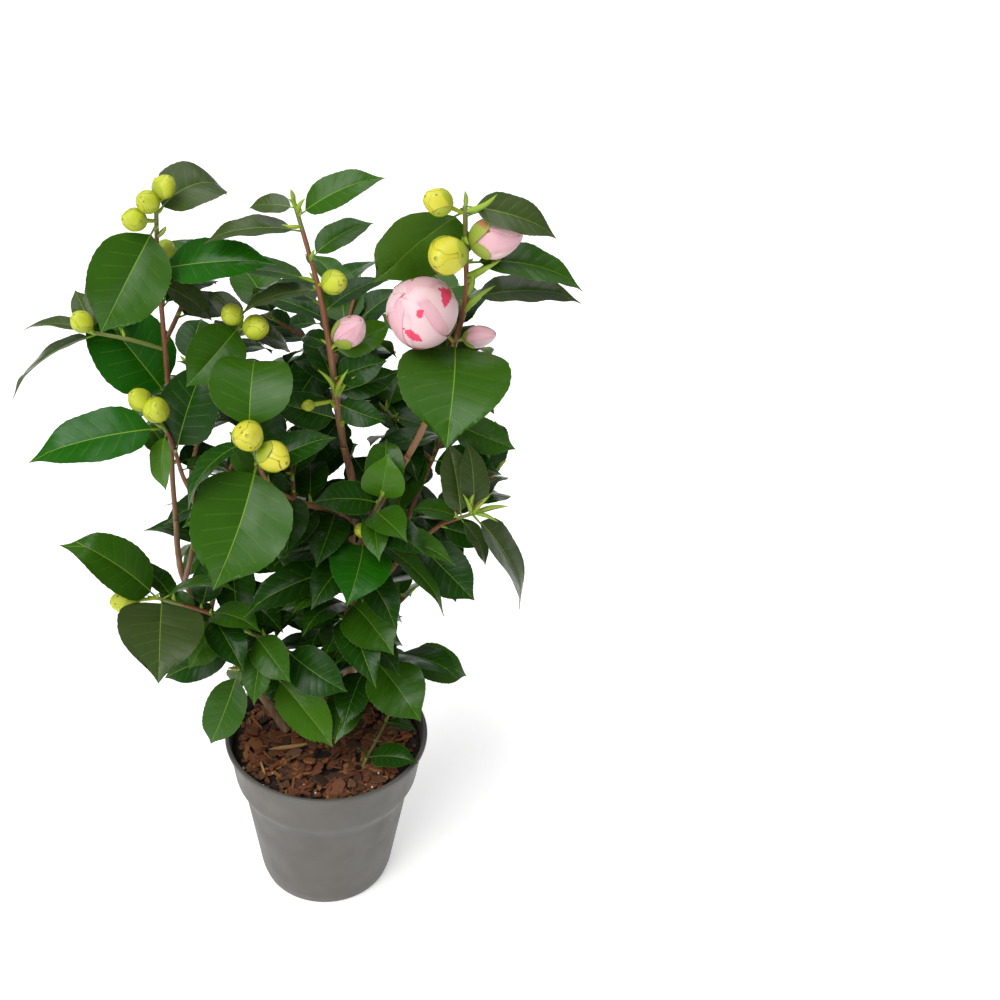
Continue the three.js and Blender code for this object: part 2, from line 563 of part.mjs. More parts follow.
function setLeaf(mass, twig, [at, heading, rise, length, width, roll, bend = leafShape.bend]) {
  for (const [tilt, swing] of nudges) {
    const leaf = {
      root: pointOn(twig.points, at), length, width, bend, cup: leafShape.cup,
      ...directions(heading + swing, rise + tilt, roll),
    };
    const skin = leafSkin(leaf);
    if (!leafIsFree(skin, twig.line)) continue;
    placed.leaves.push(skin);
    mass.leaves.push(leaf);
    return true;
  }
  return false;
}

function setBud(list, twig, [at, heading, rise, reach, radius, slim = 1.12]) {
  const root = pointOn(twig.points, at);
  const frame = directions(heading, rise, 0);
  const bud = { ...frame, reach, radius, slim, middle: root.clone().addScaledVector(frame.along, reach) };
  placed.balls.push({ middle: bud.middle, radius: radius * Math.max(1, slim) });
  list.push(bud);
}

function makeTwig(path, radii, steps) {
  return { points: path.map(point), line: limbLine(path, radii, steps) };
}

function fillMass(mass, { seed, filler }) { // the seeded rule: side twigs, then leaves turning up each twig
  const random = seeded(seed);
  const inSector = (heading) => ((heading - filler.from + 3600) % 360) <= filler.to - filler.from;
  const leafAt = (twig, at, heading, rise) => {
    const length = mix(fill.leafLength, random());
    const width = length * mix(fill.leafRatio, random());
    const [roll, bend] = [mix(fill.leafRoll, random()), mix(fill.leafBend, random())];
    if (inSector(heading)) setLeaf(mass, twig, [at, heading, rise, length, width, roll, bend]);
  };
  const stem = mass.twigs[0];
  for (let k = 0; k < filler.twigs; k++) {
    const at = mix([filler.low, filler.high], (k + 0.4 + random() * 0.4) / filler.twigs);
    const heading = filler.from + (filler.to - filler.from) * ((k * 0.62 + random() * 0.5) % 1);
    const length = mix(fill.twigLength, random());
    const { along } = directions(heading, mix(fill.twigRise, random()), 0);
    const foot = pointOn(stem.points, at);
    const path = [0, 0.5, 1].map((share) => foot.clone().addScaledVector(along, length * share)
      .add(new THREE.Vector3(0, 0, fill.twigUp * length * share * share)).toArray());
    const twig = makeTwig(path, fill.twigThick, 3);
    const free = lineIsFree(twig.line);
    if (free) {
      mass.twigs.push(twig);
      placed.lines.push(twig.line);
    }
    for (let j = 0; j < fill.twigLeaves; j++) {
      const swing = (j % 2 ? 1 : -1) * fill.leafSwing * (1 - j / fill.twigLeaves);
      const rise = mix(fill.leafRise, random());
      if (free) leafAt(twig, 1 - j * fill.leafStep, heading + swing, rise);
    }
  }
  for (let k = 0; k < filler.leaves; k++) {
    const at = mix([filler.low, filler.high], (k + random()) / filler.leaves);
    leafAt(stem, at, filler.from + ((k * fill.turn) % (filler.to - filler.from)), mix(fill.leafRise, random()));
  }
}

// ---------------------------------------------------------------- the nodes

const shrub = new THREE.Group();
shrub.name = 'potted_camellia';

function addPot() {
  const { wall, height, lipHeight } = pot;
  const bandStep = pot.bandFoot + 0.6;
  const bodyTop = bandStep - pot.bandSlope;
  const profile = [[0, 0], [pot.footRadius, 0], [pot.bodyFootRadius, pot.bodyFoot], [pot.bodyTopRadius, bodyTop],
    [pot.bandFootRadius, bandStep], [pot.bandTopRadius, height - lipHeight], [pot.rimRadius, height - lipHeight + 0.8],
    [pot.rimRadius, height - 1.2], [pot.rimRadius - 1, height], [pot.bandTopRadius - 0.6, height],
    [pot.bandTopRadius - wall, height - lipHeight], [pot.bandFootRadius - wall, bandStep + wall],
    [pot.bodyTopRadius - wall, bodyTop + wall], [pot.bodyFootRadius - wall, pot.bodyFoot],
    [pot.footRadius - wall, pot.floor], [0, pot.floor]];
  const turned = new THREE.LatheGeometry(profile.map(([x, y]) => new THREE.Vector2(x, y)), pot.sides);
  turned.rotateX(Math.PI / 2);
  let solid = solidOf(turned);
  for (let k = 0; k < pot.drainHoles; k++) {
    const turn = (2 * Math.PI * (k + 0.5)) / pot.drainHoles;
    const drill = new THREE.CylinderGeometry(pot.drainRadius, pot.drainRadius, 12, 8);
    drill.rotateX(Math.PI / 2);
    drill.translate(pot.drainCircle * Math.cos(turn), pot.drainCircle * Math.sin(turn), 0);
    solid = solid.subtract(solidOf(drill));
  }
  shrub.add(meshOf('pot', solid, tone.pot, 0.7));
}

function addSoil() { // coarse potting bark: a plug that fills the pot, with chips bedded in its top
  const random = seeded(soil.seed);
  const inner = (outerRadius) => outerRadius - pot.wall - soil.gap;
  const level = (r) => Array.from({ length: soil.sides }, (_, k) => {
    const turn = (2 * Math.PI * k) / soil.sides;
    return new THREE.Vector3(r * Math.cos(turn), r * Math.sin(turn), 0);
  });
  const flat = (r, z) => level(r).map((p) => p.setZ(z));
  const top = inner(pot.bandFootRadius + (pot.bandTopRadius - pot.bandFootRadius) * 0.8);
  const shrink = Math.cos(Math.PI / pot.sides); // stays inside the pot's flat facets
  const rings = [[new THREE.Vector3(0, 0, pot.floor + soil.gap)], flat(inner(pot.footRadius) - 1, pot.floor + soil.gap),
    flat(inner(pot.bodyFootRadius) * shrink, pot.bodyFoot), flat(inner(pot.bodyTopRadius) * shrink, pot.bandFoot),
    flat(inner(pot.bodyTopRadius) * shrink, pot.bandFoot + 3), flat(inner(pot.bandFootRadius) * shrink, pot.bandFoot + 3)];
  for (let k = 0; k < soil.rings; k++) {
    const radius = top * shrink * Math.sqrt(1 - k / soil.rings);
    rings.push(level(radius).map((p) => p.setZ(soil.level - soil.dip * random())));
  }
  rings.push([new THREE.Vector3(0, 0, soil.level - 1)]);
  const feet = Object.values(limbs).slice(0, 3).map(({ path }) => path[0]).concat([masses.soil_sprig.twigs[0].path[0]]);
  const parts = [solidOf(loft(rings))];
  for (let k = 0; k < soil.chips; k++) {
    const [turn, out] = [2 * Math.PI * random(), Math.sqrt(random()) * (top - 9)];
    const sizes = [soil.chipLength, soil.chipWidth, soil.chipThick].map((range) => mix(range, random()));
    const tilts = [0.5 * (random() - 0.5), 0.5 * (random() - 0.5), Math.PI * random()];
    const place = new THREE.Vector3(out * Math.cos(turn), out * Math.sin(turn), soil.level - 0.4);
    if (feet.some(([x, y]) => Math.hypot(x - place.x, y - place.y) < soil.clearOfStems)) continue;
    const chip = new THREE.BoxGeometry(...sizes);
    chip.applyMatrix4(new THREE.Matrix4().makeRotationFromEuler(new THREE.Euler(...tilts)));
    chip.translate(place.x, place.y, place.z);
    parts.push(solidOf(chip));
  }
  shrub.add(meshOf('potting_bark', mainBody(wasm.Manifold.union(parts)), tone.soil, 0.9));
}

const limbCutters = [];

function addLimbs() {
  Object.entries(limbs).forEach(([name, { path, radii, steps }]) => {
    const line = limbLine(path, radii, steps);
    const solid = limbCutters.reduce((rest, cutter) => rest.subtract(cutter), tube(line, stemSides, path[0][2] < 128));
    placed.lines.push(line);
    limbCutters.push(tube(limbLine(path, radii, steps, jointGap), stemSides));
    shrub.add(meshOf(name, mainBody(solid), name.startsWith('bough') ? tone.redBark : tone.bark, 0.85));
  });
}

function addMasses() {
  const grown = Object.entries(masses).map(([name, plan]) => {
    const twigs = plan.twigs.map(({ path, radii }) => makeTwig(path, radii, 2 * (path.length - 1)));
    twigs.forEach(({ line }) => placed.lines.push(line));
    return { name, plan, twigs, leaves: [], buds: [], blooms: [] };
  });
  grown.forEach((mass) => mass.plan.twigs.forEach((twig, i) => {
    twig.buds.forEach((bud) => setBud(mass.buds, mass.twigs[i], bud));
    (twig.blooms ?? []).forEach((bloom) => setBud(mass.blooms, mass.twigs[i], bloom));
  }));
  grown.forEach((mass) => mass.plan.twigs.forEach((twig, i) => {
    twig.leaves.forEach((leaf) => setLeaf(mass, mass.twigs[i], leaf));
  }));
  grown.forEach((mass) => fillMass(mass, mass.plan));
  const cutter = wasm.Manifold.union(limbCutters);
  grown.forEach((mass) => {
    const parts = [...mass.twigs.map(({ line }) => tube(line, twigSides)), ...mass.leaves.map(leafSolid),
      ...mass.buds.map(budSolid), ...mass.blooms.map(bloomSolid)];
    const solid = mainBody(wasm.Manifold.union(parts).subtract(cutter));
    shrub.add(meshOf(mass.name, solid, mass.name === 'foliage_right_low' ? tone.youngLeaf : tone.leaf, 0.4));
  });
}

addPot();
addSoil();
addLimbs();
addMasses();

export default shrub;
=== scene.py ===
# Potted camellia shrub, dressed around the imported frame. Sizes are in millimetres, angles in degrees.
import math

import bpy
import numpy as np
from mathutils import Matrix, Vector, noise


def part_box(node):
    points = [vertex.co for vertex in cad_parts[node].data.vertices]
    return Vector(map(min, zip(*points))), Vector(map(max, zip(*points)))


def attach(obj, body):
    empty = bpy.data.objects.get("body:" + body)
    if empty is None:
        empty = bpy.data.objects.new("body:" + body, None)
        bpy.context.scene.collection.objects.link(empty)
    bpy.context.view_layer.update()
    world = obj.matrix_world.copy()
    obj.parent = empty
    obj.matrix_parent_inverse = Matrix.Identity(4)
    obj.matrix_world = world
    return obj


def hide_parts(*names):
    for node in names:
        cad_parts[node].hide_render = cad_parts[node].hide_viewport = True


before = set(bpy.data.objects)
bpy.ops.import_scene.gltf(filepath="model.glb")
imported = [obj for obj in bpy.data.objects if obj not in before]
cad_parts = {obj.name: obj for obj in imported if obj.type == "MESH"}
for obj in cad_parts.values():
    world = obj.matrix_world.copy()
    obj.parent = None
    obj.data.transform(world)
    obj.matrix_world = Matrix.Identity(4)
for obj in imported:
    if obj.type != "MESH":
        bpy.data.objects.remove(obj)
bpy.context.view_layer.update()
mm = 0.001
print("frame loaded")


# camera, light and floor, in metres

camera = {"place": (0.0, -0.8, 0.865), "down": 33.28, "turn": 6.944, "lens": 51.14}
studio = {
    "sky": (0.97, 0.98, 1.0), "skyStrength": 0.24, "backdrop": 0.95,
    "sun": 2.2, "sunSize": 44, "sunFrom": (-0.55, -0.5, 1.25), "lampAim": (0, 0, 0.3),
    "floorSize": 14.0, "floorColour": (0.9, 0.9, 0.89), "floorRough": 0.9, "floorGlow": 0.42,
}
lamps = [  # power in watts
    {"name": "front", "place": (-0.7, -1.2, 1.2), "size": 0.9, "power": 8},
    {"name": "top", "place": (0.1, 0.55, 1.75), "size": 1.3, "power": 10},
]


def setCamera():
    data = bpy.data.cameras.new("camera")
    data.lens = camera["lens"]
    eye = bpy.data.objects.new("camera", data)
    tilt = Matrix.Rotation(math.radians(90 - camera["down"]), 4, "X")
    turn = Matrix.Rotation(math.radians(-camera["turn"]), 4, "Y")
    eye.matrix_world = Matrix.Translation(camera["place"]) @ tilt @ turn
    bpy.context.scene.collection.objects.link(eye)
    bpy.context.scene.camera = eye


def setSky():  # dim light on the plant, and a paler backdrop behind it
    bpy.context.scene.view_settings.view_transform = "Standard"
    world = bpy.data.worlds.new("studio")
    world.use_nodes = True
    sky = world.node_tree.nodes["Background"]
    sky.inputs["Color"].default_value = (*studio["sky"], 1)
    rays = world.node_tree.nodes.new("ShaderNodeLightPath")
    level = world.node_tree.nodes.new("ShaderNodeMapRange")
    level.inputs["To Min"].default_value = studio["skyStrength"]
    level.inputs["To Max"].default_value = studio["backdrop"]
    world.node_tree.links.new(rays.outputs["Is Camera Ray"], level.inputs["Value"])
    world.node_tree.links.new(level.outputs["Result"], sky.inputs["Strength"])
    bpy.context.scene.world = world


def setLamps():
    sun = bpy.data.lights.new("sun", "SUN")
    sun.energy = studio["sun"]
    sun.angle = math.radians(studio["sunSize"])
    sunlight = bpy.data.objects.new("sun", sun)
    sunlight.rotation_euler = Vector(studio["sunFrom"]).to_track_quat("Z", "Y").to_euler()
    bpy.context.scene.collection.objects.link(sunlight)
    for lamp in lamps:
        data = bpy.data.lights.new(lamp["name"], "AREA")
        data.size = lamp["size"]
        data.energy = lamp["power"]
        light = bpy.data.objects.new(lamp["name"], data)
        aim = Vector(studio["lampAim"]) - Vector(lamp["place"])
        light.rotation_euler = aim.to_track_quat("-Z", "Y").to_euler()
        light.location = lamp["place"]
        bpy.context.scene.collection.objects.link(light)


def setFloor():
    half = studio["floorSize"] / 2
    mesh = bpy.data.meshes.new("floor")
    corners = [(-half, -half, 0), (half, -half, 0), (half, half, 0), (-half, half, 0)]
    mesh.from_pydata(corners, [], [(0, 1, 2, 3)])
    floor = bpy.data.objects.new("floor", mesh)
    paint = newMaterial("floor", studio["floorColour"], studio["floorRough"])
    shader = paint.node_tree.nodes["Principled BSDF"]
    shader.inputs["Emission Color"].default_value = (1, 1, 1, 1)
    shader.inputs["Emission Strength"].default_value = studio["floorGlow"]
    floor.data.materials.append(paint)
    bpy.context.scene.collection.objects.link(floor)


# shared material effects

def makeGroup(name, inputs, outputs):
    group = bpy.data.node_groups.new(name, "ShaderNodeTree")
    for socket, kind, value in inputs:
        group.interface.new_socket(socket, in_out="INPUT", socket_type=kind).default_value = value
    for socket, kind in outputs:
        group.interface.new_socket(socket, in_out="OUTPUT", socket_type=kind)
    enter = group.nodes.new("NodeGroupInput")
    leave = group.nodes.new("NodeGroupOutput")
    return group, enter, leave


def noiseIn(group, scale, detail, stretch=None):
    place = group.nodes.new("ShaderNodeTexCoord")
    grain = group.nodes.new("ShaderNodeTexNoise")
    grain.inputs["Detail"].default_value = detail
    group.links.new(scale, grain.inputs["Scale"])
    if stretch is None:
        group.links.new(place.outputs["Object"], grain.inputs["Vector"])
        return grain
    pull = group.nodes.new("ShaderNodeVectorMath")
    pull.operation = "MULTIPLY"
    group.links.new(place.outputs["Object"], pull.inputs[0])
    group.links.new(stretch, pull.inputs[1])
    group.links.new(pull.outputs[0], grain.inputs["Vector"])
    return grain


def makeSheenGroup():  # a roughness that wanders between two values
    group, enter, leave = makeGroup("waxy sheen", [
        ("Scale", "NodeSocketFloat", 90.0),
        ("Low", "NodeSocketFloat", 0.25),
        ("High", "NodeSocketFloat", 0.4),
    ], [("Roughness", "NodeSocketFloat")])
    grain = noiseIn(group, enter.outputs["Scale"], 3)
    spread = group.nodes.new("ShaderNodeMapRange")
    spread.inputs["From Min"].default_value = 0.3
    spread.inputs["From Max"].default_value = 0.7
    group.links.new(grain.outputs["Fac"], spread.inputs["Value"])
    group.links.new(enter.outputs["Low"], spread.inputs["To Min"])
    group.links.new(enter.outputs["High"], spread.inputs["To Max"])
    group.links.new(spread.outputs["Result"], leave.inputs["Roughness"])
    return group


def makeReliefGroup():  # coarse swells with a fine grain on them
    group, enter, leave = makeGroup("surface relief", [
        ("Scale", "NodeSocketFloat", 200.0),
        ("Grain Scale", "NodeSocketFloat", 1500.0),
        ("Grain Share", "NodeSocketFloat", 0.3),
        ("Stretch", "NodeSocketVector", (1.0, 1.0, 1.0)),
    ], [("Height", "NodeSocketFloat")])
    swell = noiseIn(group, enter.outputs["Scale"], 3, enter.outputs["Stretch"])
    grain = noiseIn(group, enter.outputs["Grain Scale"], 2)
    add = group.nodes.new("ShaderNodeMath")
    add.operation = "MULTIPLY_ADD"
    group.links.new(grain.outputs["Fac"], add.inputs[0])
    group.links.new(enter.outputs["Grain Share"], add.inputs[1])
    group.links.new(swell.outputs["Fac"], add.inputs[2])
    group.links.new(add.outputs["Value"], leave.inputs["Height"])
    return group


def makeMottleGroup():  # two colours that run into each other in patches
    group, enter, leave = makeGroup("mottled colour", [
        ("Scale", "NodeSocketFloat", 60.0),
        ("Stretch", "NodeSocketVector", (1.0, 1.0, 1.0)),
        ("From", "NodeSocketFloat", 0.35),
        ("To", "NodeSocketFloat", 0.65),
        ("Colour A", "NodeSocketColor", (0.2, 0.2, 0.2, 1)),
        ("Colour B", "NodeSocketColor", (0.3, 0.3, 0.3, 1)),
    ], [("Color", "NodeSocketColor")])
    patch = noiseIn(group, enter.outputs["Scale"], 4, enter.outputs["Stretch"])
    spread = group.nodes.new("ShaderNodeMapRange")
    group.links.new(patch.outputs["Fac"], spread.inputs["Value"])
    group.links.new(enter.outputs["From"], spread.inputs["From Min"])
    group.links.new(enter.outputs["To"], spread.inputs["From Max"])
    blend = group.nodes.new("ShaderNodeMix")
    blend.data_type = "RGBA"
    group.links.new(spread.outputs["Result"], blend.inputs["Factor"])
    group.links.new(enter.outputs["Colour A"], blend.inputs["A"])
    group.links.new(enter.outputs["Colour B"], blend.inputs["B"])
    group.links.new(blend.outputs["Result"], leave.inputs["Color"])
    return group


def newMaterial(name, colour, roughness):
    material = bpy.data.materials.new(name)
    material.use_nodes = True
    shader = material.node_tree.nodes["Principled BSDF"]
    shader.inputs["Base Color"].default_value = (*colour, 1)
    shader.inputs["Roughness"].default_value = roughness
    return material


def placeGroup(material, group, values):
    node = material.node_tree.nodes.new("ShaderNodeGroup")
    node.node_tree = group
    for socket, value in values.items():
        node.inputs[socket].default_value = value
    return node


def addSheen(material, low, high, scale):
    tree = material.node_tree
    sheen = placeGroup(material, sheenGroup, {"Scale": scale, "Low": low, "High": high})
    tree.links.new(sheen.outputs["Roughness"], tree.nodes["Principled BSDF"].inputs["Roughness"])


def addRelief(material, depth, values):  # depth in millimetres
    tree = material.node_tree
    relief = placeGroup(material, reliefGroup, values)
    bump = tree.nodes.new("ShaderNodeBump")
    bump.inputs["Distance"].default_value = depth * mm
    tree.links.new(relief.outputs["Height"], bump.inputs["Height"])
    tree.links.new(bump.outputs["Normal"], tree.nodes["Principled BSDF"].inputs["Normal"])


def addMottle(material, colours, values):
    tree = material.node_tree
    ends = {"Colour A": (*colours[0], 1), "Colour B": (*colours[1], 1)}
    mottle = placeGroup(material, mottleGroup, {**ends, **values})
    tree.links.new(mottle.outputs["Color"], tree.nodes["Principled BSDF"].inputs["Base Color"])


# look: plain roughness, sheen (roughness from, to and scale), depth of the relief, and mottle if it has one
def finishedMaterial(name, colour, look):
    material = newMaterial(name, colour, look["rough"])
    if "mottle" in look:
        addMottle(material, look["mottleColours"], look["mottle"])
    addSheen(material, *look["sheen"])
    addRelief(material, look["depth"], look["relief"])
    return material


def colourMaterials(kind, colours, look):
    return [finishedMaterial(kind + " " + name, colour, look) for name, colour in colours.items()]


def numbered(names):  # the slot of each material in its mesh
    return {name: number for number, name in enumerate(names)}


# meshes: a pile gathers lofted skins and becomes one piece

def newPile():
    return {"points": [], "quads": [], "tris": [], "quadSlots": [], "triSlots": [], "count": 0}


def addLoft(pile, rings, slots):  # a skin through the rings, closed by a fan of triangles at both ends
    rings = np.asarray(rings, float)  # rings turn anticlockwise about the way they run
    rows, sides = rings.shape[:2]
    first = pile["count"]
    index = first + np.arange(rows * sides).reshape(rows, sides)
    after = np.roll(index, -1, 1)
    quads = np.stack([index[:-1], after[:-1], after[1:], index[1:]], -1).reshape(-1, 4)
    slots = np.broadcast_to(np.asarray(slots), (rows - 1, sides))
    pile["points"].append(rings.reshape(-1, 3))
    pile["quads"].append(quads)
    pile["quadSlots"].append(slots.ravel())
    pile["count"] += rows * sides
    for row in (0, -1):
        middle = np.full(sides, pile["count"])
        pile["points"].append(rings[row].mean(0)[None])
        pile["count"] += 1
        order = (middle, after[0], index[0]) if row == 0 else (middle, index[-1], after[-1])
        pile["tris"].append(np.stack(order, -1))
        pile["triSlots"].append(slots[row].copy())


def makePiece(name, pile, materials, replaced=(), smooth=True):  # the points turn into metres here
    quads = np.concatenate(pile["quads"])
    tris = np.concatenate(pile["tris"]) if pile["tris"] else np.zeros((0, 3), int)
    sizes = np.concatenate([np.full(len(quads), 4), np.full(len(tris), 3)])
    mesh = bpy.data.meshes.new(name)
    mesh.vertices.add(pile["count"])
    mesh.vertices.foreach_set("co", (np.concatenate(pile["points"]) * mm).ravel())
    mesh.loops.add(int(sizes.sum()))
    mesh.loops.foreach_set("vertex_index", np.concatenate([quads.ravel(), tris.ravel()]))
    mesh.polygons.add(len(sizes))
    mesh.polygons.foreach_set("loop_start", np.concatenate([[0], np.cumsum(sizes)[:-1]]))
    mesh.polygons.foreach_set("material_index", np.concatenate(pile["quadSlots"] + pile["triSlots"]))
    mesh.polygons.foreach_set("use_smooth", np.full(len(sizes), smooth))
    for material in materials:
        mesh.materials.append(material)
    mesh.update(calc_edges=True)
    mesh.validate()
    piece = bpy.data.objects.new(name, mesh)
    bpy.context.scene.collection.objects.link(piece)
    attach(piece, "root")
    if replaced:
        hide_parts(*replaced)
    print(name, 2 * len(quads) + len(tris), "triangles")
    return piece


# curves and directions, as the part grows them

limbs = {  # points of each middle line, radii along it, and its steps in the solid
    "trunk": {
        "path": [[13, 15, 127.3], [14, 15, 139], [16, 15, 165], [18, 13, 203], [18, 10, 243]],
        "radii": [8.2, 6.0, 5.2, 4.5, 3.9], "steps": 9,
    },
    "stem_left": {
        "path": [[-30, 8, 127.3], [-42, 13, 147], [-57, 16, 172], [-80, 14, 218], [-97, 11, 262],
                 [-101, 10, 286], [-101, 9, 318]],
        "radii": [3.9, 3.3, 3.0, 2.7, 2.4, 2.1, 1.9], "steps": 11,
    },
    "cut_stub": {
        "path": [[-6, -1, 127.3], [-6.5, -1.5, 131], [-8, -2, 138]],
        "radii": [4.6, 3.7, 3.4], "steps": 2,
    },
    "bough_centre": {
        "path": [[18, 10, 243.3], [18, 10, 272], [17, 10, 300], [17, 8, 346], [11, 5, 379]],
        "radii": [3.4, 3.0, 2.8, 2.6, 2.4], "steps": 7,
    },
    "bough_right": {
        "path": [[18, 11, 230], [16, 4, 252], [20, 0, 282], [24, 0, 309], [36, -8, 345],
                 [52, -13, 382]],
        "radii": [3.0, 2.7, 2.5, 2.4, 2.3, 2.2], "steps": 9,
    },
    "bough_low_right": {
        "path": [[18, 12, 220], [29, 12, 246], [41, 10, 268]],
        "radii": [2.7, 2.3, 2.1], "steps": 4,
    },
    "bough_back": {
        "path": [[17, 14, 192], [22, 36, 230], [25, 54, 268]],
        "radii": [3.0, 2.5, 2.3], "steps": 5,
    },
}

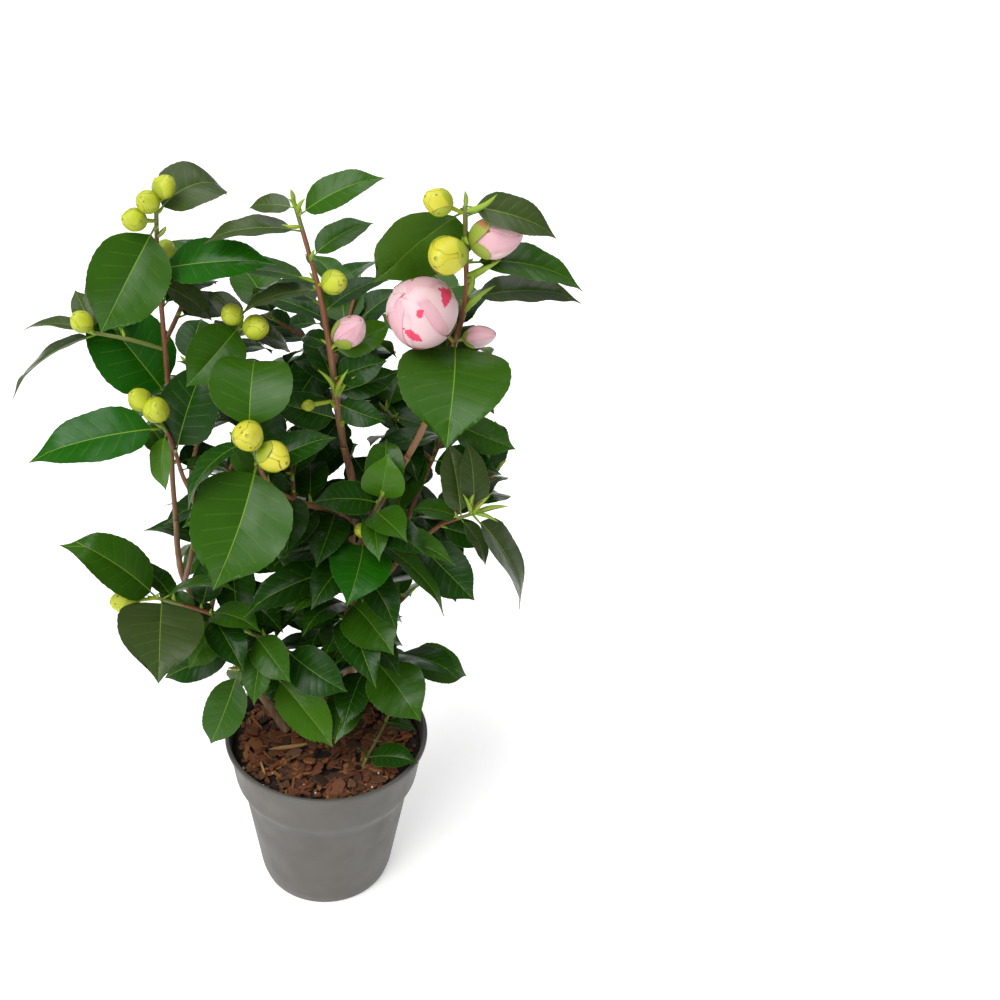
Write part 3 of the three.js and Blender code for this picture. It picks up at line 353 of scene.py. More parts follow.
# a leaf: place on the twig, heading, rise, length, width, roll, and its bend if not the usual one
# a bud or bloom: place on the twig, heading, rise, how far out, radius, and its slimness if not the usual one
# the filler: how many leaves and side twigs the rule adds, their sector, and their stretch of the first twig
masses = {
    "foliage_left_top": {
        "seed": 11,
        "filler": {"leaves": 5, "twigs": 1, "from": 40, "to": 140, "low": 0.15, "high": 0.8},
        "twigs": [
            {
                "path": [[-101, 9, 318.3], [-101, 6, 356], [-99, 0, 420], [-99, -4, 470],
                         [-99, -8, 514], [-97, -11, 556]],
                "radii": [1.8, 1.1],
                "leaves": [[0.91, 226, -50, 71, 46, -46], [0.94, 40, 2, 50, 36, 22, 120],
                           [0.77, 350, 10, 72, 33, 30], [0.73, 15, -42, 42, 19, 40],
                           [0.71, 230, -15, 24, 11, -10], [0.39, 160, 50, 78, 50, -40]],
                "buds": [[0.98, 328, 57, 12, 6.7], [0.96, 246, 37, 11, 6.9], [0.92, 224, 17, 16, 6.9],
                         [0.82, 74, -9, 13, 5.8]],
            },
            {
                "path": [[-99, -2, 452], [-119, -5, 460], [-140, -8, 466]],
                "radii": [1.3, 1.0],
                "leaves": [[1.0, 174, 10, 44, 18, 4], [0.93, 183, -36, 70, 26, 7],
                           [0.98, 129, 50, 31, 15, -24]],
                "buds": [[1.0, 230, 52, 13, 6.8]],
            },
        ],
    },
    "foliage_left_side": {
        "seed": 12,
        "filler": {"leaves": 5, "twigs": 1, "from": 30, "to": 150, "low": 0.1, "high": 0.7},
        "twigs": [
            {
                "path": [[-98, 10, 266], [-92, 0, 292], [-86, -9, 325], [-86, -12, 347],
                         [-92, -15, 369], [-97, -20, 398], [-106, -26, 422]],
                "radii": [2.0, 1.0],
                "leaves": [[0.9, 190, -10, 84, 38, -27], [0.77, 35, 67, 66, 38, 53],
                           [0.88, 262, -68, 38, 18, 30], [0.51, 50, -72, 66, 30, 5]],
                "buds": [[1.0, 221, 53, 14, 7.3], [0.97, 279, 44, 16, 8.2]],
            },
            {
                "path": [[-86, -12, 347], [-88, 0, 363], [-80, 6, 390], [-67, 6, 428], [-52, -6, 472]],
                "radii": [1.4, 1.0],
                "leaves": [[1.0, 222, -33, 51, 34, -46], [0.97, 43, -33, 52, 23, 31],
                           [0.99, 136, 17, 37, 17, -2]],
                "buds": [[1.0, 243, 48, 15, 6.8], [0.98, 307, 25, 20, 7.9]],
            },
        ],
    },
    "foliage_front": {
        "seed": 13,
        "filler": {"leaves": 5, "twigs": 1, "from": 70, "to": 200, "low": 0.1, "high": 0.75},
        "twigs": [
            {
                "path": [[17, 8, 314], [6, -8, 336], [-12, -30, 356], [-28, -48, 376], [-38, -58, 394],
                         [-46, -60, 425]],
                "radii": [2.1, 1.1],
                "leaves": [[1.0, 85, 38, 56, 50, 3, 110], [0.89, 242, -48, 82, 61, -26],
                           [0.86, 15, 18, 50, 24, 20], [0.42, 200, 12, 66, 38, -50],
                           [0.66, 190, -25, 62, 32, -20]],
                "buds": [[1.0, 270, 31, 16, 9.4], [0.95, 315, 3, 17.5, 9.7]],
            },
        ],
    },
    "foliage_centre_top": {
        "seed": 14,
        "filler": {"leaves": 6, "twigs": 1, "from": 50, "to": 150, "low": 0.05, "high": 0.55},
        "twigs": [
            {
                "path": [[11, 5, 379.3], [6, 0, 416], [2, -5, 455], [-5, -10, 498], [-11, -12, 524],
                         [-19, -15, 556]],
                "radii": [2.3, 1.1],
                "leaves": [[0.94, 5, 26, 55, 25, 28], [0.97, 160, -8, 30, 14, -34],
                           [0.88, 185, -5, 58, 25, -5], [0.76, 30, 20, 46, 21, 15],
                           [0.63, 170, -10, 82, 34, 5], [0.6, 192, -22, 50, 22, 0],
                           [0.52, 30, 16, 48, 21, 0], [0.39, 20, 20, 44, 20, 55],
                           [0.41, 125, -10, 32, 14, -34], [0.29, 350, 26, 37, 21, 65],
                           [0.23, 14, 15, 44, 19, 50], [0.19, 338, -4, 34, 19, 60],
                           [0.12, 195, 20, 48, 24, -64], [0.25, 135, 10, 38, 17, 0]],
                "buds": [[0.62, 313, 25, 16, 7.7], [0.2, 207, 4, 20, 3.8]],
                "blooms": [[0.4, 316, 49, 24, 9.5, 1.4]],
            },
        ],
    },
    "foliage_right_top": {
        "seed": 15,
        "filler": {"leaves": 5, "twigs": 1, "from": 60, "to": 150, "low": 0.1, "high": 0.6},
        "twigs": [
            {
                "path": [[52.2, -13.1, 382.4], [61, -18, 407], [71, -27, 447], [77, -33, 477],
                         [81, -39, 506], [79, -43, 540], [77, -45, 567]],
                "radii": [2.1, 1.2],
                "leaves": [[0.88, 150, -46, 74, 52, -88, -40], [0.49, 263, -20, 80, 67, -2, 60],
                           [1.0, 0, -17, 57, 27, 31], [0.79, 350, -2, 73, 32, 17],
                           [0.67, 5, -1, 71, 31, 7], [0.4, 300, -12, 50, 26, 20]],
                "buds": [[0.97, 204, 28, 20, 8.0], [0.83, 237, 12, 23, 11.3]],
                "blooms": [[0.49, 218, 45, 40, 20.5, 1.0], [0.86, 350, 15, 17, 12.2, 1.2],
                           [0.5, 333, 22, 16, 6.8, 1.5]],
            },
        ],
    },
    "foliage_right_low": {
        "seed": 16,
        "filler": {"leaves": 5, "twigs": 1, "from": 20, "to": 130, "low": 0.1, "high": 0.8},
        "twigs": [
            {
                "path": [[41.2, 10, 268.3], [52, 7, 289], [66, 0, 309], [77, -6, 324], [97, -15, 339]],
                "radii": [2.0, 1.0],
                "leaves": [[0.91, 120, 68, 54, 24, -14], [1.0, 105, 60, 50, 22, 6],
                           [0.98, 50, 22, 38, 17, -15], [0.99, 345, -60, 82, 36, 5],
                           [0.9, 325, -52, 38, 17, 0], [0.72, 10, -24, 38, 20, 62],
                           [0.43, 322, -30, 56, 35, 44]],
                "buds": [],
            },
        ],
    },
    "foliage_right_back": {
        "seed": 17,
        "filler": {"leaves": 6, "twigs": 2, "from": 0, "to": 150, "low": 0.1, "high": 0.95},
        "twigs": [
            {
                "path": [[18, 12, 238], [36, 24, 262], [52, 31, 290], [62, 34, 320], [72, 34, 350],
                         [84, 26, 394]],
                "radii": [2.0, 1.1],
                "leaves": [[0.96, 340, -14, 49, 25, 60], [0.8, 320, 20, 58, 28, 30],
                           [0.55, 300, -30, 62, 30, 20], [0.9, 190, -10, 52, 26, 0]],
                "buds": [[1.0, 60, 60, 10, 6.5]],
            },
        ],
    },
    "foliage_centre_front": {
        "seed": 18,
        "filler": {"leaves": 5, "twigs": 0, "from": 180, "to": 360, "low": 0.1, "high": 0.9},
        "twigs": [
            {
                "path": [[17, 13, 196], [13, -6, 222], [13, -22, 256], [18, -26, 292], [24, -26, 325],
                         [35, -26, 360]],
                "radii": [2.0, 1.0],
                "leaves": [[0.79, 259, -10, 56, 42, -11, 50], [0.81, 332, 2, 66, 29, 0],
                           [0.83, 345, -44, 80, 24, 0], [0.5, 302, -10, 54, 38, 30],
                           [0.52, 12, -36, 48, 21, 20], [0.68, 192, -20, 84, 36, -10],
                           [0.76, 176, -20, 60, 28, -5], [1.0, 82, 48, 42, 26, 5],
                           [0.97, 200, 14, 46, 24, -40], [0.9, 310, -18, 46, 25, 20]],
                "buds": [[0.86, 240, 20, 10, 5.0]],
            },
        ],
    },
    "foliage_low_left": {
        "seed": 19,
        "filler": {"leaves": 5, "twigs": 1, "from": 20, "to": 180, "low": 0.1, "high": 0.8},
        "twigs": [
            {
                "path": [[-58, 15, 174], [-58, 4, 196], [-61, -8, 225], [-72, -15, 251],
                         [-86, -20, 264], [-112, -28, 280]],
                "radii": [2.1, 1.1],
                "leaves": [[0.98, 264, -12, 68, 56, -12, 60], [1.0, 184, 44, 79, 36, -36],
                           [0.92, 135, 16, 46, 21, 14], [0.8, 160, 20, 31, 16, -42],
                           [0.6, 235, -28, 40, 25, -34], [0.4, 186, -26, 60, 28, -36],
                           [0.7, 300, -20, 48, 26, 10]],
                "buds": [[1.0, 204, 12, 22, 8.5]],
            },
        ],
    },
    "foliage_low_front": {
        "seed": 20,
        "filler": {"leaves": 2, "twigs": 0, "from": 180, "to": 360, "low": 0.2, "high": 0.9},
        "twigs": [
            {
                "path": [[16, 13, 160], [22, 0, 182], [31, -12, 210], [44, -13, 217], [55, -10, 212]],
                "radii": [1.8, 1.0],
                "leaves": [[0.55, 304, -18, 58, 42, 30], [1.0, 5, -24, 52, 30, 32],
                           [0.4, 250, -20, 50, 26, 0]],
                "buds": [],
            },
            {
                "path": [[18, 6, 170], [-4, -8, 186], [-26, -18, 200], [-46, -24, 212],
                         [-61, -26, 216]],
                "radii": [1.5, 1.0],
                "leaves": [[0.62, 325, -34, 66, 32, 30], [1.0, 222, -62, 60, 29, -38]],
                "buds": [],
            },
            {
                "path": [[-15, -13, 193], [-22, -18, 216], [-34, -22, 236], [-52, -24, 246]],
                "radii": [1.3, 1.0],
                "leaves": [[0.55, 325, -16, 54, 32, 45], [0.95, 305, -18, 44, 26, 40]],
                "buds": [],
            },
        ],
    },
    "foliage_back": {
        "seed": 21,
        "filler": {"leaves": 5, "twigs": 4, "from": 0, "to": 180, "low": 0.1, "high": 0.95},
        "twigs": [
            {
                "path": [[25.2, 54.6, 269.3], [20, 64, 310], [13, 67, 356], [8, 62, 408], [4, 52, 446]],
                "radii": [2.2, 1.1],
                "leaves": [[0.98, 20, 20, 58, 28, 10], [0.99, 160, 10, 60, 30, 0],
                           [0.95, 95, -10, 64, 32, 0], [0.55, 240, -20, 64, 32, -10],
                           [0.4, 300, -25, 66, 33, 10], [0.75, 200, -10, 60, 30, -20],
                           [0.2, 225, -15, 66, 34, -10], [0.3, 265, -30, 66, 34, 0],
                           [0.1, 300, 0, 60, 32, 10]],
                "buds": [[1.0, 60, 70, 12, 7.2]],
            },
        ],
    },
    "foliage_back_left": {
        "seed": 22,
        "filler": {"leaves": 4, "twigs": 3, "from": 40, "to": 220, "low": 0.1, "high": 0.95},
        "twigs": [
            {
                "path": [[-84, 13, 228], [-76, 30, 258], [-62, 44, 298], [-54, 48, 346],
                         [-52, 44, 396]],
                "radii": [2.1, 1.1],
                "leaves": [[0.98, 150, 15, 58, 28, 10], [0.96, 30, 10, 60, 30, 0],
                           [0.9, 95, -10, 62, 31, 0], [0.5, 310, -20, 64, 32, 10],
                           [0.7, 345, -10, 60, 30, 10], [0.35, 270, -25, 60, 30, 0],
                           [0.2, 320, -10, 64, 33, 10], [0.3, 350, 5, 62, 32, 10]],
                "buds": [[1.0, 90, 70, 12, 7.2]],
            },
        ],
    },
    "foliage_low_back": {
        "seed": 23,
        "filler": {"leaves": 5, "twigs": 3, "from": 20, "to": 190, "low": 0.1, "high": 0.95},
        "twigs": [
            {
                "path": [[17, 16, 178], [10, 34, 196], [-6, 48, 222], [-18, 52, 252]],
                "radii": [1.9, 1.1],
                "leaves": [[0.97, 100, -20, 62, 31, 0], [1.0, 170, 10, 58, 28, 0],
                           [0.9, 40, -15, 60, 30, 0], [0.95, 250, -20, 62, 32, 0],
                           [0.8, 215, 5, 64, 33, -10], [1.0, 290, 10, 60, 32, 0],
                           [0.5, 265, 15, 60, 32, 0]],
                "buds": [],
            },
        ],
    },
    "soil_sprig": {
        "seed": 24,
        "filler": {"leaves": 0, "twigs": 0, "from": 0, "to": 0, "low": 0, "high": 1},
        "twigs": [
            {
                "path": [[26, -33, 127.4], [29, -30, 134], [36, -16, 137], [44, 2, 139]],
                "radii": [1.3, 0.9],
                "leaves": [[0.33, 338, 12, 40, 22, 14], [1.0, 345, -6, 24, 12, 0],
                           [0.3, 200, 60, 16, 8, 0]],
                "buds": [],
            },
        ],
    },
}

nudges = [[0, 0], [7, 0], [-7, 0], [0, 9], [0, -9], [12, 6], [-12, -6], [-10, 12], [14, -14]]
leafShape = {
    "petiole": 0.1, "baseHalfWidth": 1.3, "bend": 40, "cup": 0.16, "clearance": 1.3,
    "height": 2.569, "swelling": 0.62, "taper": 0.75, "testStations": [0.1, 0.3, 0.55, 0.8],
}
fill = {
    "turn": 137.5, "leafLength": [50, 72], "leafRatio": [0.46, 0.54], "leafRise": [-30, 20],
    "leafRoll": [-20, 20], "leafBend": [30, 60], "leafSwing": 65, "leafStep": 0.17,
    "darkShare": 0.6, "toneSeed": 500,
    "twigLength": [42, 66], "twigRise": [10, 40], "twigLeaves": 5, "twigThick": [1.5, 1.0], "twigUp": 0.25,
    "twigStart": 0.4, "twigStray": 0.4, "twigTurn": 0.62, "twigSwing": 0.5,
    "twigClearance": 1.5, "budClearance": 1,
}
usualSlim = 1.12
pointSize = 0.01  # a line so short that it stands for a point
wholeTurns = 3600  # keeps the remainder of a heading above nothing
wordMask = 0xFFFFFFFF


def seeded(seed):  # the same run of numbers from 0 to 1 for the same seed
    state = seed & wordMask

    def draw():
        nonlocal state
        state = (state + 0x6D2B79F5) & wordMask
        mixed = ((state ^ (state >> 15)) * (state | 1)) & wordMask
        mixed ^= (mixed + (mixed ^ (mixed >> 7)) * (mixed | 61)) & wordMask
        return (mixed ^ (mixed >> 14)) / (wordMask + 1)
    return draw


def mix(ends, share):
    return ends[0] + (ends[1] - ends[0]) * share


def smoothStep(value, low, high):
    share = np.clip((value - low) / (high - low), 0, 1)
    return share * share * (3 - 2 * share)


def pointOn(path, share):  # a smooth curve through the path's points
    last = len(path) - 1
    place = min(max(share, 0), 1) * last
    i = min(int(place), last - 1)
    w = place - i
    b, c = path[i], path[i + 1]
    a = path[i - 1] if i > 0 else 2 * b - c
    d = path[i + 2] if i + 2 <= last else 2 * c - b
    slope = c - a
    curve = 2 * a - 5 * b + 4 * c - d
    change = 3 * b - a - 3 * c + d
    return 0.5 * (2 * b + slope * w + curve * w * w + change * w ** 3)


def directions(heading, rise, roll):  # along, to the side and out of the upper face
    h, r, w = math.radians(heading), math.radians(rise), math.radians(roll)
    along = np.array([math.cos(h) * math.cos(r), math.sin(h) * math.cos(r), math.sin(r)])
    level = np.array([-math.sin(h), math.cos(h), 0.0])
    side = level * math.cos(w) + np.cross(along, level) * math.sin(w)
    return along, side, np.cross(along, side)


def limbLine(path, radii, steps):
    shares = np.arange(steps + 1) / steps
    middles = np.array([pointOn(path, share) for share in shares])
    return middles, np.interp(shares * (len(radii) - 1), range(len(radii)), radii)


def unit(vectors):
    return vectors / np.linalg.norm(vectors, axis=-1, keepdims=True)


def tubeFrames(middles):  # the way, and two directions across it, at each point of a line
    ways = unit(np.gradient(middles, axis=0))
    side = np.array([1.0, 0, 0]) if abs(ways[0][0]) < 0.8 else np.array([0, 1.0, 0])
    sides = []
    for way in ways:
        side = unit(side - way * side.dot(way))
        sides.append(side)
    sides = np.array(sides)
    return ways, sides, np.cross(ways, sides)


def tubeRings(middles, radii, sides):
    turns = 2 * np.pi * np.arange(sides) / sides
    ways, across, other = tubeFrames(middles)
    if np.ndim(radii) == 1:
        radii = np.asarray(radii)[:, None]
    radii = np.broadcast_to(radii, (len(middles), sides))
    out = across[:, None] * np.cos(turns)[None, :, None]
    out = out + other[:, None] * np.sin(turns)[None, :, None]
    return middles[:, None] + out * radii[..., None]


# what keeps leaves apart

skinEdges = np.array([(3 * i + k, 3 * i + k + 1) for i in range(4) for k in (0, 1)]
                     + [(3 * i + k, min(3 * i + 3 + k, 12)) for i in range(4) for k in range(3)])
skinFaces = np.array([(3 * i + k, 3 * i + k + 1, min(3 * i + 4 + k, 12)) for i in range(4) for k in (0, 1)]
                     + [(3 * i + k, 3 * i + 4 + k, 3 * i + 3 + k) for i in range(3) for k in (0, 1)])
placed = {"leaves": [], "pieces": [], "balls": []}


def leafOutline(share):  # the simple outline that is tested, 1 at its widest
    return leafShape["height"] * share ** leafShape["swelling"] * (1 - share) ** leafShape["taper"]


def bladeCurve(leaf, share):  # how far along and how high the leaf's middle line is
    half = math.radians(leaf["bend"]) / 2
    radius = leaf["length"] / (2 * math.sin(half))
    turn = 2 * half * (share - 0.5)
    return radius * (np.sin(turn) + math.sin(half)), radius * (np.cos(turn) - math.cos(half))


def leafSkin(leaf):  # the leaf's simple form, as the part has it, and its lines moved a little up and down
    shares = np.array([*np.repeat(leafShape["testStations"], 3), 1.0])
    across = np.array([*[-1, 0, 1] * 4, 0])
    reach, arch = bladeCurve(leaf, shares)
    blade = np.maximum(shares - leafShape["petiole"], 0) / (1 - leafShape["petiole"])
    halfWidth = np.maximum(leaf["width"] / 2 * leafOutline(blade), leafShape["baseHalfWidth"] * (shares < 1))
    lift = arch + leafShape["cup"] * halfWidth * abs(across)
    points = (leaf["root"] + leaf["along"] * reach[:, None] + leaf["up"] * lift[:, None]
              + leaf["side"] * (across * halfWidth)[:, None])
    reach, arch = bladeCurve(leaf, 0.5)
    middle = leaf["root"] + leaf["along"] * reach + leaf["up"] * arch
    edges = points[skinEdges]
    shift = leaf["up"] * leafShape["clearance"]
    size = np.linalg.norm(points - middle, axis=1).max() + leafShape["clearance"]
    return {"faces": points[skinFaces], "edges": edges,
            "shifted": np.concatenate([edges - shift, edges + shift]),
            "middle": middle.tolist(), "size": size}


def anyCross(edges, faces):  # does a line of the one cross a triangle of the other
    if not len(edges) or not len(faces):
        return False
    start, way = edges[:, 0][:, None], (edges[:, 1] - edges[:, 0])[:, None]
    corner, u, v = faces[:, 0], faces[:, 1] - faces[:, 0], faces[:, 2] - faces[:, 0]
    across = np.cross(way, v[None])
    scale = (u * across).sum(-1)
    flat = abs(scale) < 1e-12
    scale = np.where(flat, 1, scale)
    off = start - corner
    p = (off * across).sum(-1) / scale
    turned = np.cross(off, u[None])
    q = (way * turned).sum(-1) / scale
    t = (v * turned).sum(-1) / scale
    return bool((~flat & (p >= 0) & (q >= 0) & (p + q <= 1) & (t >= 0) & (t <= 1)).any())


def gaps(first, second):  # the least distances between two sets of straight lines
    u, v = (first[:, 1] - first[:, 0])[:, None], (second[:, 1] - second[:, 0])[None]
    w = first[:, 0][:, None] - second[:, 0][None]
    uu, uv, vv = (u * u).sum(-1), (u * v).sum(-1), (v * v).sum(-1)
    uw, vw = (u * w).sum(-1), (v * w).sum(-1)
    scale = uu * vv - uv * uv
    s = np.where(scale > 1e-9, np.clip((uv * vw - vv * uw) / np.maximum(scale, 1e-9), 0, 1), 0)
    t = np.clip((uv * s + vw) / np.maximum(vv, 1e-9), 0, 1)
    s = np.clip((uv * t - uw) / np.maximum(uu, 1e-9), 0, 1)
    return np.linalg.norm(w + u * s[..., None] - v * t[..., None], axis=-1)


def placeLine(owner, line):
    middles, radii = line
    for i in range(len(middles) - 1):
        piece = {"owner": owner, "ends": middles[i:i + 2], "start": middles[i].tolist(), "radius": radii[i]}
        piece["length"] = math.dist(middles[i], middles[i + 1])
        placed["pieces"].append(piece)


def leafIsFree(skin, owner):
    middle, size = skin["middle"], skin["size"]
    near = [o for o in placed["leaves"] if math.dist(o["middle"], middle) < o["size"] + size]
    if near:
        if anyCross(skin["shifted"], np.concatenate([o["faces"] for o in near])):
            return False
        if anyCross(np.concatenate([o["shifted"] for o in near]), skin["faces"]):
            return False
    spare = fill["twigClearance"]
    near = [p for p in placed["pieces"] if p["owner"] != owner
            and math.dist(p["start"], middle) < p["length"] + p["radius"] + spare + size]
    if near:
        ends = np.array([p["ends"] for p in near])
        reach = np.array([p["radius"] + spare for p in near])
        if anyCross(ends, skin["faces"]) or (gaps(skin["edges"], ends) < reach).any():
            return False
    for ball in placed["balls"]:
        if math.dist(ball["middle"], middle) >= ball["radius"] + size:
            continue
        centre = np.array(ball["middle"])
        cross = centre + np.stack([-np.eye(3), np.eye(3)], 1) * ball["radius"]
        dot = np.array([[centre, centre + pointSize]])
        reach = ball["radius"] + fill["budClearance"]
        if anyCross(cross, skin["faces"]) or (gaps(skin["edges"], dot) <= reach).any():
            return False
    return True


def lineIsFree(line):
    middles, radii = line
    pieces = np.stack([middles[1:-1], middles[2:]], 1)
    reach = radii[1:-1, None]
    others = np.array([p["ends"] for p in placed["pieces"]])
    otherRadii = np.array([p["radius"] for p in placed["pieces"]])
    if (gaps(pieces, others) < reach + otherRadii + fill["twigClearance"]).any():
        return False
    if anyCross(pieces, np.concatenate([o["faces"] for o in placed["leaves"]])):
        return False
    edges = np.concatenate([o["edges"] for o in placed["leaves"]])
    if (gaps(pieces, edges) < reach + fill["twigClearance"]).any():
        return False
    centres = np.array([b["middle"] for b in placed["balls"]])
    dots = np.stack([centres, centres + pointSize], 1)
    ballReach = np.array([b["radius"] for b in placed["balls"]])
    return not (gaps(pieces, dots) < reach + ballReach + fill["budClearance"]).any()


# growing the masses by the same seeded rule as the part

toneNames = {"d": "dark", "g": "glossy", "m": "middle", "l": "light", "w": "grey"}
leafTones = {  # leaf by leaf, as the mass lists them; a capital curls the leaf's tip; w gives the grey tone, a painted sheen
    "foliage_left_top": "mwgwwgwww",
    "foliage_left_side": "gdldmww",
    "foliage_front": "Mmddd",
    "foliage_centre_top": "mwwmmwdldddddd",
    "foliage_right_top": "mmwmwm",
    "foliage_right_low": "wwwwwdd",
    "foliage_right_back": "mddd",
    "foliage_centre_front": "gmmmdddMdd",
    "foliage_low_left": "wMdmldd",
    "foliage_low_front": "mmdlmdm",
    "foliage_back": "ddddddddd",
    "foliage_back_left": "dddddddd",
    "foliage_low_back": "ddddddd",
    "soil_sprig": "ddm",
}


def setLeaf(mass, twig, spec, tone):  # nudged until it is free, and left out if it never is
    at, heading, rise, length, width, roll = spec[:6]
    bend = spec[6] if len(spec) > 6 else leafShape["bend"]
    for tilt, swing in nudges:
        along, side, up = directions(heading + swing, rise + tilt, roll)
        leaf = {"root": pointOn(twig["points"], at), "along": along, "side": side, "up": up,
                "length": length, "width": width, "bend": bend, "at": at,
                "tone": toneNames[tone.lower()], "curl": float(tone.isupper())}
        skin = leaf["skin"] = leafSkin(leaf)
        if leafIsFree(skin, twig["owner"]):
            placed["leaves"].append(skin)
            mass["leaves"].append(leaf)
            return


def setBud(kind, twig, spec):
    at, heading, rise, reach, radius = spec[:5]
    slim = spec[5] if len(spec) > 5 else usualSlim
    root = pointOn(twig["points"], at)
    along, side, up = directions(heading, rise, 0)
    middle = root + along * reach
    placed["balls"].append({"middle": middle.tolist(), "radius": radius * max(1, slim)})
    kind.append({"root": root, "middle": middle, "along": along, "side": side, "up": up,
                 "radius": radius, "slim": slim})


def makeTwig(owner, path, radii, steps):
    points = np.array(path, float)
    return {"owner": owner, "points": points, "line": limbLine(points, radii, steps), "radii": radii}


def fillMass(mass, plan, number):  # side twigs, then leaves turning up each twig
    filler = plan["filler"]
    random = seeded(plan["seed"])
    toneRandom = seeded(plan["seed"] + fill["toneSeed"])
    start, span = filler["from"], filler["to"] - filler["from"]

    def leafAt(twig, at, heading, rise):
        length = mix(fill["leafLength"], random())
        width = length * mix(fill["leafRatio"], random())
        roll = mix(fill["leafRoll"], random())
        bend = mix(fill["leafBend"], random())
        tone = "d" if toneRandom() < fill["darkShare"] else "m"
        if (heading - start + wholeTurns) % 360 <= span:
            setLeaf(mass, twig, [at, heading, rise, length, width, roll, bend], tone)

    stem = mass["twigs"][0]
    for k in range(filler["twigs"]):
        step = k + fill["twigStart"] + random() * fill["twigStray"]
        at = mix([filler["low"], filler["high"]], step / filler["twigs"])
        heading = start + span * ((k * fill["twigTurn"] + random() * fill["twigSwing"]) % 1)
        length = mix(fill["twigLength"], random())
        along = directions(heading, mix(fill["twigRise"], random()), 0)[0]
        foot = pointOn(stem["points"], at)
        path = [foot + along * length * share + np.array([0, 0, fill["twigUp"] * length * share * share])
                for share in (0, 0.5, 1)]
        twig = makeTwig(f"{number} {k}", path, fill["twigThick"], 3)
        free = lineIsFree(twig["line"])
        if free:
            mass["twigs"].append(twig)
            placeLine(twig["owner"], twig["line"])
        for j in range(fill["twigLeaves"]):
            swing = (1 if j % 2 else -1) * fill["leafSwing"] * (1 - j / fill["twigLeaves"])
            rise = mix(fill["leafRise"], random())
            if free:
                leafAt(twig, 1 - j * fill["leafStep"], heading + swing, rise)
    for k in range(filler["leaves"]):
        at = mix([filler["low"], filler["high"]], (k + random()) / filler["leaves"])
        leafAt(stem, at, start + (k * fill["turn"]) % span, mix(fill["leafRise"], random()))


handSet = {  # of the finer pass: the leaf it takes over, if any, then its twig, its numbers and its tone
    "foliage_right_top": [(0, 0, [0.98, 167, -46, 73, 58, -125, -33], "l")],
    "foliage_centre_front": [(None, 0, [0.98, 36, 80, 34, 29, 46, 41], "l")],
}
extraLeaf = {"seed": 900, "from": 0.04, "span": 0.94, "darkShare": 0.7}
thicken = {  # further leaves of the finer pass: tries, their sector, and the tries skipped to leave gaps open
    "foliage_low_front": {
        "tries": 70, "from": 60, "to": 300, "rise": [-50, 30], "length": [36, 62],
        "open": [7],
    },
    "foliage_low_left": {
        "tries": 40, "from": -70, "to": 170, "rise": [-40, 20], "length": [36, 58],
        "open": [25],
    },
    "foliage_centre_front": {
        "tries": 70, "from": 0, "to": 360, "rise": [-40, 20], "length": [36, 64],
        "open": [9, 19, 46, 47, 54],
    },
    "foliage_front": {
        "tries": 30, "from": 60, "to": 300, "rise": [-40, 20], "length": [34, 56],
        "open": [15, 21],
    },
    "foliage_low_back": {
        "tries": 50, "from": 0, "to": 360, "rise": [-40, 20], "length": [40, 64],
        "open": [5],
    },
    "foliage_back": {
        "tries": 50, "from": 0, "to": 360, "rise": [-40, 20], "length": [42, 66],
        "open": [6, 9, 13, 17, 19, 20, 24, 32, 36, 41, 44, 45, 47],
    },
    "foliage_back_left": {
        "tries": 50, "from": 0, "to": 360, "rise": [-40, 20], "length": [40, 64],
        "open": [3, 4, 12, 13, 28],
    },
    "foliage_right_back": {
        "tries": 40, "from": 0, "to": 360, "rise": [-40, 20], "length": [40, 62],
        "open": [38],
    },
    "foliage_right_low": {
        "tries": 30, "from": 60, "to": 240, "rise": [-50, 20], "length": [34, 54],
        "open": [5, 6, 13],
    },
    "foliage_left_side": {
        "tries": 20, "from": 20, "to": 160, "rise": [-40, 20], "length": [36, 56],
        "open": [3, 12],
    },
    "foliage_left_top": {
        "tries": 16, "from": 30, "to": 150, "rise": [-30, 20], "length": [36, 56],
        "open": [0, 1, 2, 6, 13],
    },
    "foliage_centre_top": {
        "tries": 24, "from": 30, "to": 150, "rise": [-40, 20], "length": [34, 54],
        "open": [1, 2, 6, 7, 13, 14, 18, 21, 23],
    },
    "foliage_right_top": {
        "tries": 20, "from": 40, "to": 150, "rise": [-40, 20], "length": [36, 58],
        "open": [],
    },
}


def thickenMass(mass, name):  # a leaf that would leave its mass's own box is taken back
    plan = thicken[name]
    random = seeded(masses[name]["seed"] + extraLeaf["seed"])
    low, high = (np.array(corner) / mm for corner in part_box(name))
    for k in range(plan["tries"]):
        twig = mass["twigs"][int(random() * len(mass["twigs"]))]
        at = extraLeaf["from"] + extraLeaf["span"] * random()
        heading = plan["from"] + (plan["to"] - plan["from"]) * random()
        rise = mix(plan["rise"], random())
        length = mix(plan["length"], random())
        width = length * mix(fill["leafRatio"], random())
        roll = mix(fill["leafRoll"], random())
        bend = mix(fill["leafBend"], random())
        tone = "d" if random() < extraLeaf["darkShare"] else "m"
        before = len(mass["leaves"])
        if k in plan["open"]:
            continue
        setLeaf(mass, twig, [at, heading, rise, length, width, roll, bend], tone)
        if len(mass["leaves"]) > before:
            points = placed["leaves"][-1]["edges"].reshape(-1, 3)
            if (points < low).any() or (points > high).any():
                placed["leaves"].pop()
                mass["leaves"].pop()


